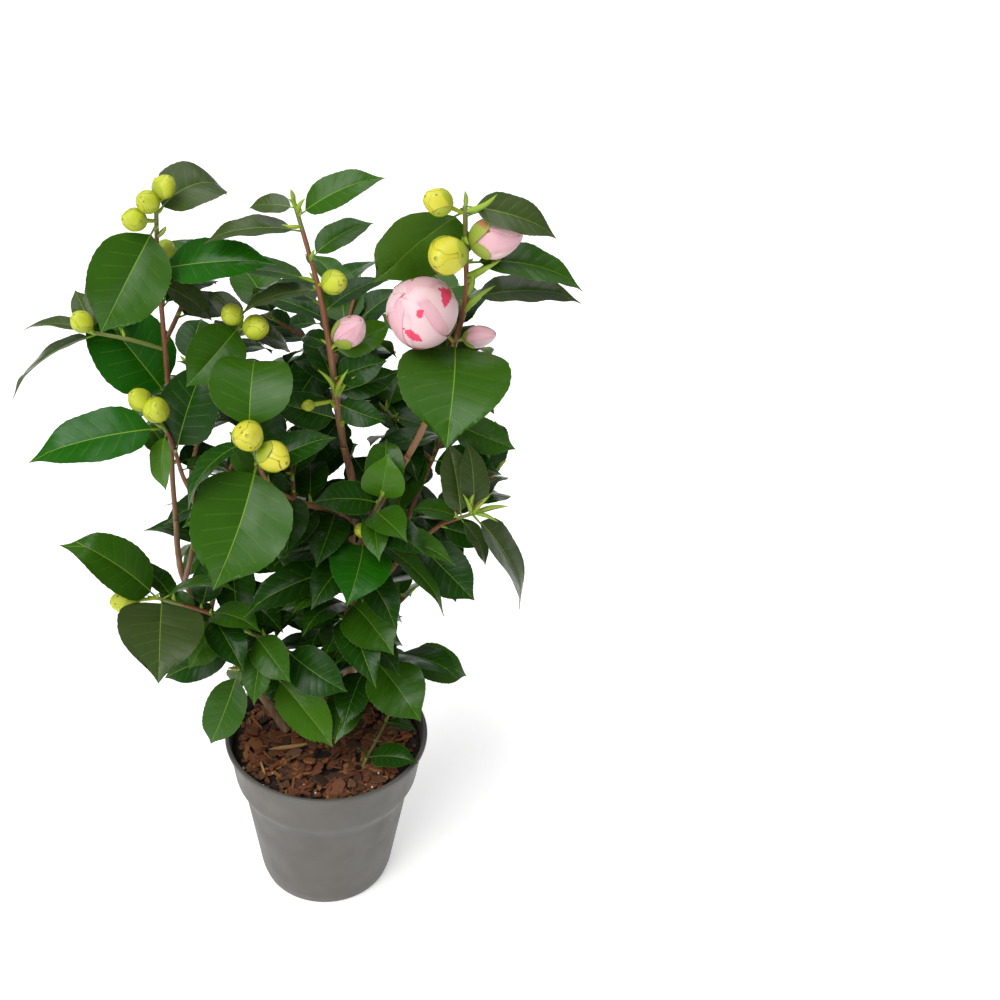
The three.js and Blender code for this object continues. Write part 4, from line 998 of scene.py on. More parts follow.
def growMasses():  # stems, buds and blooms first, then the listed leaves, the rule's, and the finer pass
    for name, limb in limbs.items():
        placeLine(name, limbLine(np.array(limb["path"], float), limb["radii"], limb["steps"]))
    grown = {}
    for name, plan in masses.items():
        twigs = [makeTwig(f"{name} {i}", t["path"], t["radii"], 2 * (len(t["path"]) - 1))
                 for i, t in enumerate(plan["twigs"])]
        for twig in twigs:
            placeLine(twig["owner"], twig["line"])
        grown[name] = {"twigs": twigs, "leaves": [], "buds": [], "blooms": []}
    for name, mass in grown.items():
        for twig, plan in zip(mass["twigs"], masses[name]["twigs"]):
            for bud in plan["buds"]:
                setBud(mass["buds"], twig, bud)
            for bloom in plan.get("blooms", []):
                setBud(mass["blooms"], twig, bloom)
    for name, mass in grown.items():
        tones = iter(leafTones[name])
        for twig, plan in zip(mass["twigs"], masses[name]["twigs"]):
            for spec in plan["leaves"]:
                setLeaf(mass, twig, spec, next(tones))
    for name, mass in grown.items():
        fillMass(mass, masses[name], name)
    for name, plans in handSet.items():
        for old, twigNumber, spec, tone in plans:
            if old is not None:
                skin = grown[name]["leaves"].pop(old)["skin"]
                placed["leaves"] = [other for other in placed["leaves"] if other is not skin]
            setLeaf(grown[name], grown[name]["twigs"][twigNumber], spec, tone)
    for name in thicken:
        thickenMass(grown[name], name)
    return grown


# leaves

# veins along the blade, the rows of each cell between two veins, and which rows end in a tooth
blade = {
    "veins": 9, "cell": [0, 0.05, 0.27, 0.5, 0.75], "teeth": [1, 1, 0, 1, 0], "columns": [0.72, 0.42],
    "toothDepth": 0.42, "toothLimit": 0.2, "slant": 0.2, "slantShare": 0.9, "rib": [0.42, 0.13],
    "ribLimit": 0.3, "margin": 0.34, "marginLimit": 0.25, "leastWidth": 0.5, "tip": 0.2,
    "thick": 0.5, "edgeThick": 0.02, "groove": 0.25,
    "quilt": 0.3, "wave": 0.9, "waves": [1.5, 1.5], "bow": 0.06, "twist": 24, "twistFrom": 0.3,
    "droop": 0.045, "droopSpan": [0.7, 1.05], "curl": 0.16, "fold": 0.1, "foldSpan": [0.72, 1.0],
    "cupPull": 1.1, "cupRound": [0.02, 0.14], "quiltSpread": 1.05, "lean": [0.88, 0.26], "modelLength": 80,
    "shares": [0, 0.03, 0.1, 0.2, 0.35, 0.5, 0.65, 0.75, 0.82, 0.88, 0.93, 0.97, 1],
    "widths": [0, 0.36, 0.7, 0.92, 1, 0.97, 0.84, 0.66, 0.45, 0.25, 0.12, 0.06, 0],
    "tableSize": 241, "easing": 50, "seed": 900,
}
leafStalk = {"reach": 0.86, "rings": 10, "sides": 6, "radius": 0.85, "leastScale": 0.6,
             "shares": [0, 0.1, 0.86], "taper": [1.0, 0.8, 0.22]}
# grey is a painted sheen: the pale grey-green of leaves that catch a reflection, put into their colour
leafColours = {
    "dark": (0.010, 0.052, 0.002), "glossy": (0.011, 0.098, 0.002), "middle": (0.028, 0.096, 0.003),
    "light": (0.050, 0.145, 0.005), "grey": (0.046, 0.074, 0.018), "rib": (0.170, 0.310, 0.022),
    "vein": (0.052, 0.145, 0.010), "margin": (0.100, 0.180, 0.022), "under": (0.070, 0.130, 0.022),
    "underVein": (0.110, 0.180, 0.035), "stalk": (0.180, 0.310, 0.022),
}
leafSlots = numbered(leafColours)
leafRelief = {"Scale": 420.0, "Grain Scale": 2600.0, "Grain Share": 0.25}
leafLooks = {
    "upper": {"rough": 0.3, "sheen": (0.24, 0.38, 110.0), "depth": 0.07, "relief": leafRelief},
    "under": {"rough": 0.45, "sheen": (0.42, 0.55, 110.0), "depth": 0.12, "relief": leafRelief},
}
leafSpecular = 0.22


def leafMaterials():
    made = []
    for name, colour in leafColours.items():
        look = leafLooks["under" if name.startswith("under") else "upper"]
        material = finishedMaterial("leaf " + name, colour, look)
        material.node_tree.nodes["Principled BSDF"].inputs["Specular IOR Level"].default_value = leafSpecular
        made.append(material)
    return made


def smoothTable(shares, values):  # the values at even steps, with the corners eased
    table = np.interp(np.linspace(0, 1, blade["tableSize"]), shares, values)
    for _ in range(blade["easing"]):
        table[1:-1] = 0.25 * table[:-2] + 0.5 * table[1:-1] + 0.25 * table[2:]
    return table


bladeTable = smoothTable(blade["shares"], blade["widths"])
bladeRows = np.array([(k + f) / blade["veins"] for k in range(blade["veins"]) for f in blade["cell"]] + [1.0])
bladeTeeth = np.array(blade["teeth"] * blade["veins"] + [1.0])
cellShares = np.append(np.tile(blade["cell"], blade["veins"]), 0)
veinRows = np.tile([k == 0 for k in range(len(blade["cell"]))], blade["veins"])


def bladeSlots(tone):  # materials across each row: margin, blade, rib, then the underside
    tone, rib, margin = leafSlots[tone], leafSlots["rib"], leafSlots["margin"]
    under, underVein = leafSlots["under"], leafSlots["underVein"]
    plain = [margin, tone, tone, tone, rib, rib, tone, tone, tone, margin]
    below = [under] * 4 + [underVein] * 2 + [under] * 4
    slots = np.tile(plain + below, (len(bladeRows) - 1, 1))
    for k in (2, 3, 6, 7):
        slots[veinRows, k] = leafSlots["vein"]
    for k in (11, 12, 13, 16, 17, 18):
        slots[veinRows, k] = underVein
    return slots


def addBlade(pile, leaf, random, scale, axes):
    lean = blade["lean"][0] + blade["lean"][1] * random()  # how far up the blade is widest

    def bladeWidth(share):
        return np.interp(share ** lean, np.linspace(0, 1, blade["tableSize"]), bladeTable)

    rows = bladeRows[:, None]
    # across each row: margin, blade, rib and back; the rows slant to the tip as the side veins do
    half = np.maximum(leaf["width"] / 2 * bladeWidth(bladeRows), blade["leastWidth"] * scale)
    rib = np.clip(mix(blade["rib"], bladeRows) * scale / half, 0, blade["ribLimit"])
    edge = np.clip(blade["margin"] / half, 0, blade["marginLimit"])
    one = np.ones_like(bladeRows)
    right = np.stack([one, 1 - edge, *(column * one for column in blade["columns"]), rib], 1)
    across = np.concatenate([right, 0 * one[:, None], -right[:, ::-1]], 1)
    away = abs(across)
    share = np.clip(rows + blade["slant"] * away * 4 * rows * (1 - rows) * blade["slantShare"], 0, 1)
    width = np.maximum(leaf["width"] / 2 * bladeWidth(share), blade["tip"] * scale)
    tooth = np.minimum(blade["toothDepth"] * scale, width * blade["toothLimit"])
    width -= (away > 0.99) * (1 - bladeTeeth[:, None]) * tooth
    whole = leafShape["petiole"] + (1 - leafShape["petiole"]) * share
    reach, arch = bladeCurve(leaf, whole)
    reach = reach - leaf["curl"] * blade["fold"] * leaf["length"] * smoothStep(share, *blade["foldSpan"])
    # the surface: cup, swells between the veins, waves at the edges, groove and drooping tip
    phases = [2 * np.pi * random() for _ in range(2)]
    waves = blade["waves"][0] + blade["waves"][1] * random()
    bow = (random() - 0.5) * blade["bow"] * leaf["length"]
    twist = math.radians((random() - 0.5) * blade["twist"])
    crown = np.sin(np.pi * share)
    middle = np.sin(np.pi * np.clip(away * blade["quiltSpread"], 0, 1))
    bulge = np.sin(np.pi * cellShares)[:, None] * middle * crown
    phase = np.where(across > 0, phases[0], phases[1])
    ripple = np.sin(2 * np.pi * waves * share + phase) * away ** 2 * crown
    soft, low = blade["cupRound"]
    lift = leafShape["cup"] * width * (np.sqrt(away ** 2 + soft) - low) * blade["cupPull"]
    lift += scale * (blade["quilt"] * bulge + blade["wave"] * ripple)
    lift -= blade["groove"] * scale * (away < 0.01) * crown
    droop = blade["droop"] + blade["curl"] * leaf["curl"]
    lift -= droop * leaf["length"] * smoothStep(share, *blade["droopSpan"])
    # turned a little about its own line, then both faces
    angle = twist * (whole - blade["twistFrom"])
    aside = across * width
    side = aside * np.cos(angle) - lift * np.sin(angle) + bow * np.sin(np.pi * whole)
    up = lift * np.cos(angle) + aside * np.sin(angle) + arch
    thick = blade["thick"] * scale * (1 - away ** 3) + blade["edgeThick"]
    upper = leaf["root"] + np.stack([reach, side, up], -1) @ axes
    lower = leaf["root"] + np.stack([reach, side, up - thick], -1) @ axes
    addLoft(pile, np.concatenate([upper, lower[:, -2:0:-1]], 1), bladeSlots(leaf["tone"]))
    return bow


def addLeafStalk(pile, leaf, bow, scale, axes):  # it runs on under the blade as the midrib
    reaches = np.linspace(0, leafStalk["reach"], leafStalk["rings"])
    along, arc = bladeCurve(leaf, reaches)
    radii = np.interp(reaches, leafStalk["shares"], leafStalk["taper"])
    radii = radii * leafStalk["radius"] * max(scale, leafStalk["leastScale"])
    sink = np.minimum(reaches / leafShape["petiole"], 1) * (blade["thick"] * scale + radii * 0.3)
    bowed = bow * np.sin(np.pi * reaches)
    stalk = leaf["root"] + np.stack([along, bowed, arc - sink], -1) @ axes
    addLoft(pile, tubeRings(stalk, radii, leafStalk["sides"]), leafSlots["stalk"])


def makeLeaves(grown):
    materials = leafMaterials()
    for number, (name, mass) in enumerate(grown.items()):
        pile = newPile()
        random = seeded(blade["seed"] + number)
        for leaf in mass["leaves"]:
            scale = leaf["length"] / blade["modelLength"]
            axes = np.stack([leaf["along"], leaf["side"], leaf["up"]])
            bow = addBlade(pile, leaf, random, scale, axes)
            addLeafStalk(pile, leaf, bow, scale, axes)
        makePiece(name.replace("foliage", "leaves") + "_fine", pile, materials, [name])


# stems, boughs and twigs

bark = {  # swells and grain: radius of the circle through the noise, and millimetres to a step along it
    "sides": 22, "spacing": 1.6, "ridge": 0.075, "swells": (1.9, 13), "grain": (4.5, 5), "grainShare": 0.5,
    "knot": 0.07, "knotEvery": 26, "knotFrom": 9, "knotLength": 2.2, "boughRidge": 0.5,
}
barkLooks = {
    "old": {
        "colour": (0.2, 0.12, 0.07), "rough": 0.8, "sheen": (0.62, 0.85, 160.0), "depth": 0.5,
        "mottleColours": ((0.17, 0.092, 0.046), (0.36, 0.220, 0.115)),
        "mottle": {"Scale": 90.0, "Stretch": (2.2, 2.2, 0.6)},
        "relief": {"Scale": 420.0, "Stretch": (1.6, 1.6, 0.35), "Grain Scale": 2200.0, "Grain Share": 0.4},
    },
    "red": {
        "colour": (0.2, 0.08, 0.04), "rough": 0.6, "sheen": (0.4, 0.62, 160.0), "depth": 0.22,
        "mottleColours": ((0.16, 0.062, 0.028), (0.34, 0.170, 0.075)),
        "mottle": {"Scale": 75.0, "Stretch": (2.0, 2.0, 0.5)},
        "relief": {"Scale": 500.0, "Stretch": (1.6, 1.6, 0.3), "Grain Scale": 2400.0, "Grain Share": 0.3},
    },
}


def barkNoise(turn, along, stretch):
    radius, step = stretch
    return noise.noise(Vector((math.cos(turn) * radius, math.sin(turn) * radius, along / step)))


def barkRelief(length, steps):  # swells with a finer grain, ring by ring
    turns = 2 * np.pi * np.arange(bark["sides"]) / bark["sides"]
    relief = np.empty((steps + 1, bark["sides"]))
    for i in range(steps + 1):
        along = length * i / steps
        for k, turn in enumerate(turns):
            grain = bark["grainShare"] * barkNoise(turn, along, bark["grain"])
            relief[i, k] = barkNoise(turn, along, bark["swells"]) + grain
    return relief


def makeStems():
    materials = {}
    for name, look in barkLooks.items():
        materials[name] = finishedMaterial("bark " + name, look["colour"], look)
    for name, limb in limbs.items():
        path = np.array(limb["path"], float)
        length = np.linalg.norm(np.diff(path, axis=0), axis=1).sum()
        steps = int(length / bark["spacing"])
        middles, radii = limbLine(path, limb["radii"], steps)
        isBough = name.startswith("bough")
        rough = bark["boughRidge"] if isBough else 1.0
        past = np.arange(steps + 1) * length / steps % bark["knotEvery"] - bark["knotFrom"]
        knots = np.exp(-(past / bark["knotLength"]) ** 2)
        scale = 1 + bark["ridge"] * rough * barkRelief(length, steps) + bark["knot"] * knots[:, None]
        pile = newPile()
        addLoft(pile, tubeRings(middles, radii[:, None] * scale, bark["sides"]), 0)
        makePiece(name + "_bark", pile, [materials["red" if isBough else "old"]], [name])


# a stout twig is brown at its foot, then red, then green; a thin one is green throughout
twigShape = {"sides": 10, "stepsPerSpan": 7, "knotSwell": 0.16, "knotLength": 0.9, "stout": 1.35,
             "bands": [0.35, 0.88], "thinBands": [0, 0]}
twigColours = {"brown": (0.23, 0.110, 0.050), "red": (0.25, 0.090, 0.040), "green": (0.16, 0.19, 0.04)}
twigLook = {
    "rough": 0.5, "sheen": (0.38, 0.6, 200.0), "depth": 0.2,
    "relief": {"Scale": 600.0, "Stretch": (1.5, 1.5, 0.4), "Grain Scale": 2500.0, "Grain Share": 0.3},
}


def makeTwigs(grown):
    materials = colourMaterials("twig", twigColours, twigLook)
    pile = newPile()
    for mass in grown.values():
        for twig in mass["twigs"]:
            steps = twigShape["stepsPerSpan"] * (len(twig["points"]) - 1)
            middles, radii = limbLine(twig["points"], twig["radii"], steps)
            shares = np.arange(steps + 1) / steps
            swell = np.zeros(steps + 1)
            for leaf in mass["leaves"]:
                swell = swell + np.exp(-((shares - leaf["at"]) * steps / twigShape["knotLength"]) ** 2)
            radii = radii * (1 + twigShape["knotSwell"] * np.minimum(swell, 1))
            bands = twigShape["bands" if twig["radii"][0] > twigShape["stout"] else "thinBands"]
            slots = np.digitize(shares[:-1], bands)[:, None]
            addLoft(pile, tubeRings(middles, radii, twigShape["sides"]), slots)
    makePiece("twigs", pile, materials)


# buds, blooms and young shoots

# a tier of scales: foot and tip on the body, how many, and how far each spreads
budShape = {
    "tiers": [(0.25, 0.97, 4, 60), (0.12, 0.84, 3, 66), (0.05, 0.62, 3, 68)], "inner": 0.93, "lift": 0.028,
    "thick": 0.05, "body": 0.89, "tierTurn": 1.1, "stray": 0.15, "seed": 77,
    "stalkRadii": (1.0, 1.5), "stalkRings": 6, "stalkSides": 8, "stalkEnd": 0.95,
    "flecks": {"from": 0.7, "span": 0.28, "side": 0.7, "tall": 0.04, "broad": 0.07}, "dryRims": 0.05,
    "golden": ("foliage_front", "foliage_right_top"),
    "blushing": "foliage_low_left", "blushFrom": 8.4, "blushShare": 0.3,
}
bodyShape = {"lobe": 0.025, "nose": 0.14, "narrow": 0.12, "end": 0.12}
budColours = {
    "scale": (0.49, 0.55, 0.024), "gold": (0.62, 0.585, 0.038), "shade": (0.35, 0.43, 0.02),
    "rim": (0.44, 0.46, 0.03), "fleck": (0.28, 0.17, 0.035), "petal": (0.62, 0.62, 0.26),
    "blush": (0.80, 0.50, 0.42),
}
budLook = {
    "rough": 0.5, "sheen": (0.4, 0.58, 220.0), "depth": 0.14,
    "relief": {"Scale": 700.0, "Grain Scale": 3000.0, "Grain Share": 0.3},
}


def bodyPoint(bud, polar, turn, size):  # on the bud's egg-shaped body, polar 0 at its foot and pi at its tip
    nose = np.maximum(-np.cos(polar), 0)
    lobe, point = bud.get("lobe", bodyShape["lobe"]), bud.get("nose", bodyShape["nose"])
    lobes = 1 + lobe * np.cos(3 * turn + bud["radius"]) * np.sin(polar) ** 2
    out = np.sin(polar) * (1 - bodyShape["narrow"] * nose) * size * lobes
    high = -np.cos(polar) * bud["slim"] * (1 + point * nose ** 3) * size
    shift = high[..., None] * bud["along"]
    shift = shift + (out * np.cos(turn))[..., None] * bud["side"]
    shift = shift + (out * np.sin(turn))[..., None] * bud["up"]
    return bud["middle"] + bud["radius"] * shift


def addBody(pile, bud, size, slot, rings=14, sides=20):
    polar = np.linspace(bodyShape["end"], math.pi - bodyShape["end"], rings)[:, None]
    turns = (2 * np.pi * np.arange(sides) / sides)[None]
    addLoft(pile, bodyPoint(bud, polar + 0 * turns, turns + 0 * polar, size), slot)


scaleShape = {
    "crowding": 1.4, "shoulder": 0.4, "tipSpan": 0.62, "tipRound": 2.4, "foot": [0.8, 0.2],
    "spreadLimit": 0.42, "spreadShare": 0.8, "belly": 0.02, "thinning": 0.6,
}


# one scale or petal wrapped on the body; marks are small diamonds, outlines are closed shapes on the body
def addScale(pile, bud, centre, low, high, spread, size, slots,
             rows=14, cols=11, thick=0.05, curl=0.0, tuck=0.0, marks=(), outlines=()):
    v = 1 - (1 - np.linspace(0, 1, rows)[:, None]) ** scaleShape["crowding"]  # up it, closer at its tip
    h = np.sin(np.linspace(1, -1, cols)[None] * np.pi / 2)  # across it, closer at its edges
    shoulder, foot = scaleShape["shoulder"], scaleShape["foot"]
    tip = np.clip((v - shoulder) / scaleShape["tipSpan"], 0, 1)
    outline = np.sqrt(np.clip(1 - tip ** scaleShape["tipRound"], 0.0004, 1))
    outline = outline * (foot[0] + foot[1] * np.minimum(v / shoulder, 1))
    polar = math.pi * (low + (high - low) * v) + 0 * h
    across = math.radians(spread) * outline * h / np.maximum(np.sin(polar), scaleShape["spreadLimit"])
    turn = centre + across * scaleShape["spreadShare"]
    lifted = size + scaleShape["belly"] * (1 - h ** 2) + curl * v ** 4 + tuck * h * outline
    sunk = lifted - thick * (1 - scaleShape["thinning"] * v) * np.sqrt(1.001 - h ** 2)
    outer = bodyPoint(bud, polar, turn, lifted)
    inner = bodyPoint(bud, polar, turn, sunk)
    rings = np.concatenate([outer, inner[:, -2:0:-1]], 1)
    face, rim = slots
    pattern = np.full((rows - 1, 2 * cols - 2), face)
    pattern[:, 0] = pattern[:, cols - 2] = rim
    pattern[-1, :cols - 1] = rim
    vs = (v[1:, 0] + v[:-1, 0]) / 2
    hs = (h[0, 1:] + h[0, :-1]) / 2
    faceTurn = np.degrees(turn[1:, 1:] + turn[:-1, :-1]) / 2
    facePolar = (polar[1:, 1:] + polar[:-1, :-1]) / (2 * math.pi)
    for outline, slot in outlines:
        pattern[:, :cols - 1][inOutline(facePolar, faceTurn, outline)] = slot
    for markV, markH, tall, broad, slot in marks:
        spot = abs(vs[:, None] - markV) / tall + abs(hs[None] - markH) / broad < 1
        pattern[:, :cols - 1][spot] = slot
    addLoft(pile, rings, pattern)


def addStalk(pile, bud, slot):
    foot = bud["middle"] - bud["along"] * bud["radius"] * bud["slim"] * budShape["stalkEnd"]
    middles = np.linspace(bud["root"], foot, budShape["stalkRings"])
    radii = np.linspace(*budShape["stalkRadii"], budShape["stalkRings"])
    addLoft(pile, tubeRings(middles, radii, budShape["stalkSides"]), slot)


def addBud(pile, bud, massName, slot, random):
    addStalk(pile, bud, slot["shade"])
    ripe = massName == budShape["blushing"]
    if not ripe and bud["radius"] > budShape["blushFrom"]:
        ripe = random() < budShape["blushShare"]
    addBody(pile, bud, budShape["body"], slot["blush" if ripe else "petal"])
    start = 2 * math.pi * random()
    flecks = budShape["flecks"]
    bright = slot["gold" if massName in budShape["golden"] else "scale"]
    for tier, (foot, tip, count, spread) in enumerate(budShape["tiers"]):
        size = budShape["inner"] + budShape["lift"] * tier
        for k in range(count):
            centre = start + 2 * math.pi * (k + budShape["stray"] * random()) / count
            centre = centre + tier * budShape["tierTurn"]
            high = flecks["from"] + flecks["span"] * random()
            aside = 2 * flecks["side"] * random() - flecks["side"]
            fleck = (high, aside, flecks["tall"], flecks["broad"], slot["fleck"])
            rim = slot["fleck" if random() < budShape["dryRims"] else "rim"]
            face = slot["shade"] if tier == 2 else bright
            addScale(pile, bud, centre, foot, tip, spread, size, (face, rim),
                     marks=[fleck], thick=budShape["thick"])


def makeBuds(grown):
    materials = colourMaterials("bud", budColours, budLook)
    slot = numbered(budColours)
    pile = newPile()
    random = seeded(budShape["seed"])
    for name, mass in grown.items():
        for bud in mass["buds"]:
            addBud(pile, bud, name, slot, random)
    makePiece("flower_buds", pile, materials)


bloomColours = {
    "petal": (0.92, 0.45, 0.50), "pale": (0.95, 0.56, 0.585), "streak": (0.82, 0.05, 0.13),
    "scorch": (0.46, 0.20, 0.07), "sepal": (0.30, 0.38, 0.045), "rim": (0.40, 0.42, 0.09),
}
bloomLook = {
    "rough": 0.55, "sheen": (0.42, 0.62, 160.0), "depth": 0.16,
    "relief": {"Scale": 260.0, "Grain Scale": 1800.0, "Grain Share": 0.2},
}
petalGlow = {"names": ("petal", "pale"), "weight": 0.25, "scale": 0.004}
bloomShape = {  # inner, outer and sepal: foot and tip on the body, spread, size; a sepal's tip is in its plan
    "outer": (0.04, 0.965, 60, 0.945), "inner": (0.4, 0.995, 60, 0.93), "sepal": (0.0, 46, 1.03),
    "petals": 6, "petalThick": 0.03, "petalCurl": 0.02, "tuck": 0.06, "stray": 0.12, "shorter": 0.03,
    "layerTurn": 0.6, "sepals": 4, "sepalThick": 0.04, "sepalTuck": 0.02, "sepalGrid": (20, 15),
    "sepalTurn": 0.3, "sepalLength": (0.9, 0.2), "body": 0.915, "bodyGrid": (20, 32), "seed": 78,
}
bigBloom = {"from": 15, "lobe": 0.035, "nose": -0.04, "swell": 1.05}
petalGrids = {"big": {"outer": (76, 57), "inner": (36, 27)}, "small": {"outer": (24, 17), "inner": (16, 13)}}
bloomPlans = {  # bloom by bloom: top of the sepals, petals p or pale a, and marks as outlines on the body
    "foliage_centre_top": [
        {
            "sepals": 0.6, "tones": "papapp",
            "streak": [],
            "scorch": [[(0.80, 90), (0.74, 130), (0.70, 100)], [(0.86, 10), (0.78, 30), (0.80, -15)]],
        },
    ],
    "foliage_right_top": [
        {
            "sepals": 0.2, "tones": "apaapa",
            "streak": [
                [(0.655, 60), (0.494, 63), (0.581, 21), (0.630, 33)],
                [(0.79, -16), (0.77, -7), (0.75, -4), (0.73, -8), (0.71, -18), (0.73, -24), (0.76, -25)],
                [(0.692, -69), (0.668, -51), (0.606, -43), (0.531, -43), (0.568, -58), (0.643, -66)],
            ],
            "scorch": [
                [(0.717, 132), (0.692, 123), (0.742, 112), (0.83, 106)],
                [(0.531, 81), (0.494, 75), (0.519, 45), (0.543, 51)],
            ],
        },
        {
            "sepals": 0.46, "tones": "ppappa",
            "streak": [],
            "scorch": [[(0.28, 78), (0.40, 75), (0.47, 100), (0.47, 141), (0.357, 114)]],
        },
        {
            "sepals": 0.4, "tones": "appapa",
            "streak": [],
            "scorch": [],
        },
    ],
}


def inOutline(polar, turn, outline):  # which of the points lie inside an outline of (polar, turn) corners
    inside = np.zeros(polar.shape, bool)
    turn = (turn + 180) % 360 - 180
    for (p, t), (q, u) in zip(outline, outline[1:] + outline[:1]):
        straddles = (t > turn) != (u > turn)
        inside ^= straddles & (polar < p + (q - p) * (turn - t) / ((u - t) or 1))
    return inside


def bloomMaterials():
    made = []
    for name, colour in bloomColours.items():
        material = finishedMaterial("bloom " + name, colour, bloomLook)
        if name in petalGlow["names"]:
            shader = material.node_tree.nodes["Principled BSDF"]
            shader.inputs["Subsurface Weight"].default_value = petalGlow["weight"]
            shader.inputs["Subsurface Scale"].default_value = petalGlow["scale"]
        made.append(material)
    return made


def addBloom(pile, bloom, plan, isBig, slot, random):
    marks = [(outline, slot[name]) for name in ("streak", "scorch") for outline in plan[name]]
    if isBig:
        bloom.update(lobe=bigBloom["lobe"], nose=bigBloom["nose"], radius=bloom["radius"] * bigBloom["swell"])
    addStalk(pile, bloom, slot["sepal"])
    addBody(pile, bloom, bloomShape["body"], slot["pale"], *bloomShape["bodyGrid"])
    start = 2 * math.pi * random()
    for layer in ("inner", "outer"):
        isInner = layer == "inner"
        low, high, spread, size = bloomShape[layer]
        rows, cols = petalGrids["big" if isBig else "small"][layer]
        count = bloomShape["petals"] - isInner
        for k in range(count):
            centre = start + 2 * math.pi * (k + bloomShape["stray"] * random()) / count
            centre = centre + bloomShape["layerTurn"] * isInner
            top = high - bloomShape["shorter"] * random()
            face = slot["pale" if plan["tones"][k] == "a" else "petal"]
            addScale(pile, bloom, centre, low, top, spread, size, (face, slot["pale"]), rows=rows, cols=cols,
                     thick=bloomShape["petalThick"], curl=bloomShape["petalCurl"], tuck=bloomShape["tuck"],
                     outlines=marks)
    low, spread, size = bloomShape["sepal"]
    rows, cols = bloomShape["sepalGrid"]
    for k in range(bloomShape["sepals"]):
        centre = start + 2 * math.pi * (k + bloomShape["sepalTurn"]) / bloomShape["sepals"]
        least, span = bloomShape["sepalLength"]
        top = plan["sepals"] * (least + span * random())
        addScale(pile, bloom, centre, low, top, spread, size, (slot["sepal"], slot["rim"]),
                 rows=rows, cols=cols, thick=bloomShape["sepalThick"], tuck=bloomShape["sepalTuck"],
                 outlines=marks)


def makeBlooms(grown):
    materials = bloomMaterials()
    slot = numbered(bloomColours)
    piles = {"bloom_large": newPile(), "blooms_small": newPile()}
    random = seeded(bloomShape["seed"])
    for massName, mass in grown.items():
        for bloom, plan in zip(mass["blooms"], bloomPlans.get(massName, [])):
            isBig = bloom["radius"] > bigBloom["from"]
            addBloom(piles["bloom_large" if isBig else "blooms_small"], bloom, plan, isBig, slot, random)
    for name, pile in piles.items():
        makePiece(name, pile, materials)


shoots = {  # in each mass: which twig, place on it, heading, rise, length, radius
    "foliage_left_top": [[0, 0.97, 326, 36, 13, 1.6], [0, 0.87, 317, 48, 13, 1.6]],
    "foliage_front": [[0, 1.0, 95, 60, 15, 1.5]],
    "foliage_centre_top": [[0, 0.96, 230, 52, 12, 1.5], [0, 0.95, 309, 57, 14, 1.6],
                           [0, 0.9, 208, 14, 13, 1.4], [0, 0.75, 290, 57, 12, 1.4],
                           [0, 0.63, 205, 26, 13, 1.4], [0, 0.21, 228, 58, 32, 2.0],
                           [0, 0.22, 300, 60, 30, 2.0], [0, 0.2, 318, 56, 28, 1.9],
                           [0, 0.15, 233, 54, 17, 1.5], [0, 0.07, 286, 56, 15, 1.5]],
    "foliage_right_top": [[0, 0.98, 340, 36, 22, 2.0], [0, 0.88, 276, -3, 10, 1.6],
                          [0, 0.73, 345, 42, 29, 2.3], [0, 0.62, 345, 48, 27, 2.2],
                          [0, 0.79, 200, 78, 17, 2.3], [0, 0.75, 335, 34, 25, 2.1],
                          [0, 0.68, 300, 74, 20, 2.2]],
    "foliage_right_low": [[0, 1.0, 340, 25, 26, 2.0], [0, 1.0, 324, 58, 22, 2.0],
                          [0, 1.0, 261, 71, 21, 1.9], [0, 1.0, 334, -5, 18, 1.6],
                          [0, 0.98, 223, 66, 22, 1.8], [0, 0.97, 20, 40, 22, 1.8]],
}
shootColours = {"green": (0.26, 0.40, 0.03), "pale": (0.42, 0.52, 0.06), "red": (0.26, 0.11, 0.03)}
shootLook = {
    "rough": 0.4, "sheen": (0.32, 0.48, 220.0), "depth": 0.1,
    "relief": {"Scale": 700.0, "Grain Scale": 2800.0, "Grain Share": 0.3},
}
shootShape = {
    "shares": [0, 0.12, 0.4, 0.75, 1], "widths": [0.55, 0.75, 1, 0.6, 0.06], "arc": 0.10,
    "spans": 8, "sides": 8, "paleSides": slice(0, 2), "redSpans": slice(2, 6), "redSide": 4, "redShare": 0.5,
    "endLength": (8, 4), "endRadius": 1.5, "axilShare": 0.45, "axilLength": (5, 3), "axilRadius": 1.2,
    "axilLean": (0.6, 0.8), "seed": 79,
}


def addShoot(pile, root, heading, rise, length, radius, random, slots):
    along, side, up = directions(heading, rise, 360 * random())
    shares = np.linspace(0, 1, shootShape["spans"] + 1)
    arc = shootShape["arc"] * length * np.sin(np.pi * shares)
    middles = root + along * (length * shares)[:, None] + up * arc[:, None]
    outline = np.interp(shares, shootShape["shares"], shootShape["widths"]) * radius
    pattern = np.full((shootShape["spans"], shootShape["sides"]), slots["green"])
    pattern[:, shootShape["paleSides"]] = slots["pale"]
    if random() < shootShape["redShare"]:
        pattern[shootShape["redSpans"], shootShape["redSide"]] = slots["red"]
    addLoft(pile, tubeRings(middles, outline, shootShape["sides"]), pattern)


def headingAndRise(way):
    return math.degrees(math.atan2(way[1], way[0])), math.degrees(math.asin(way[2]))


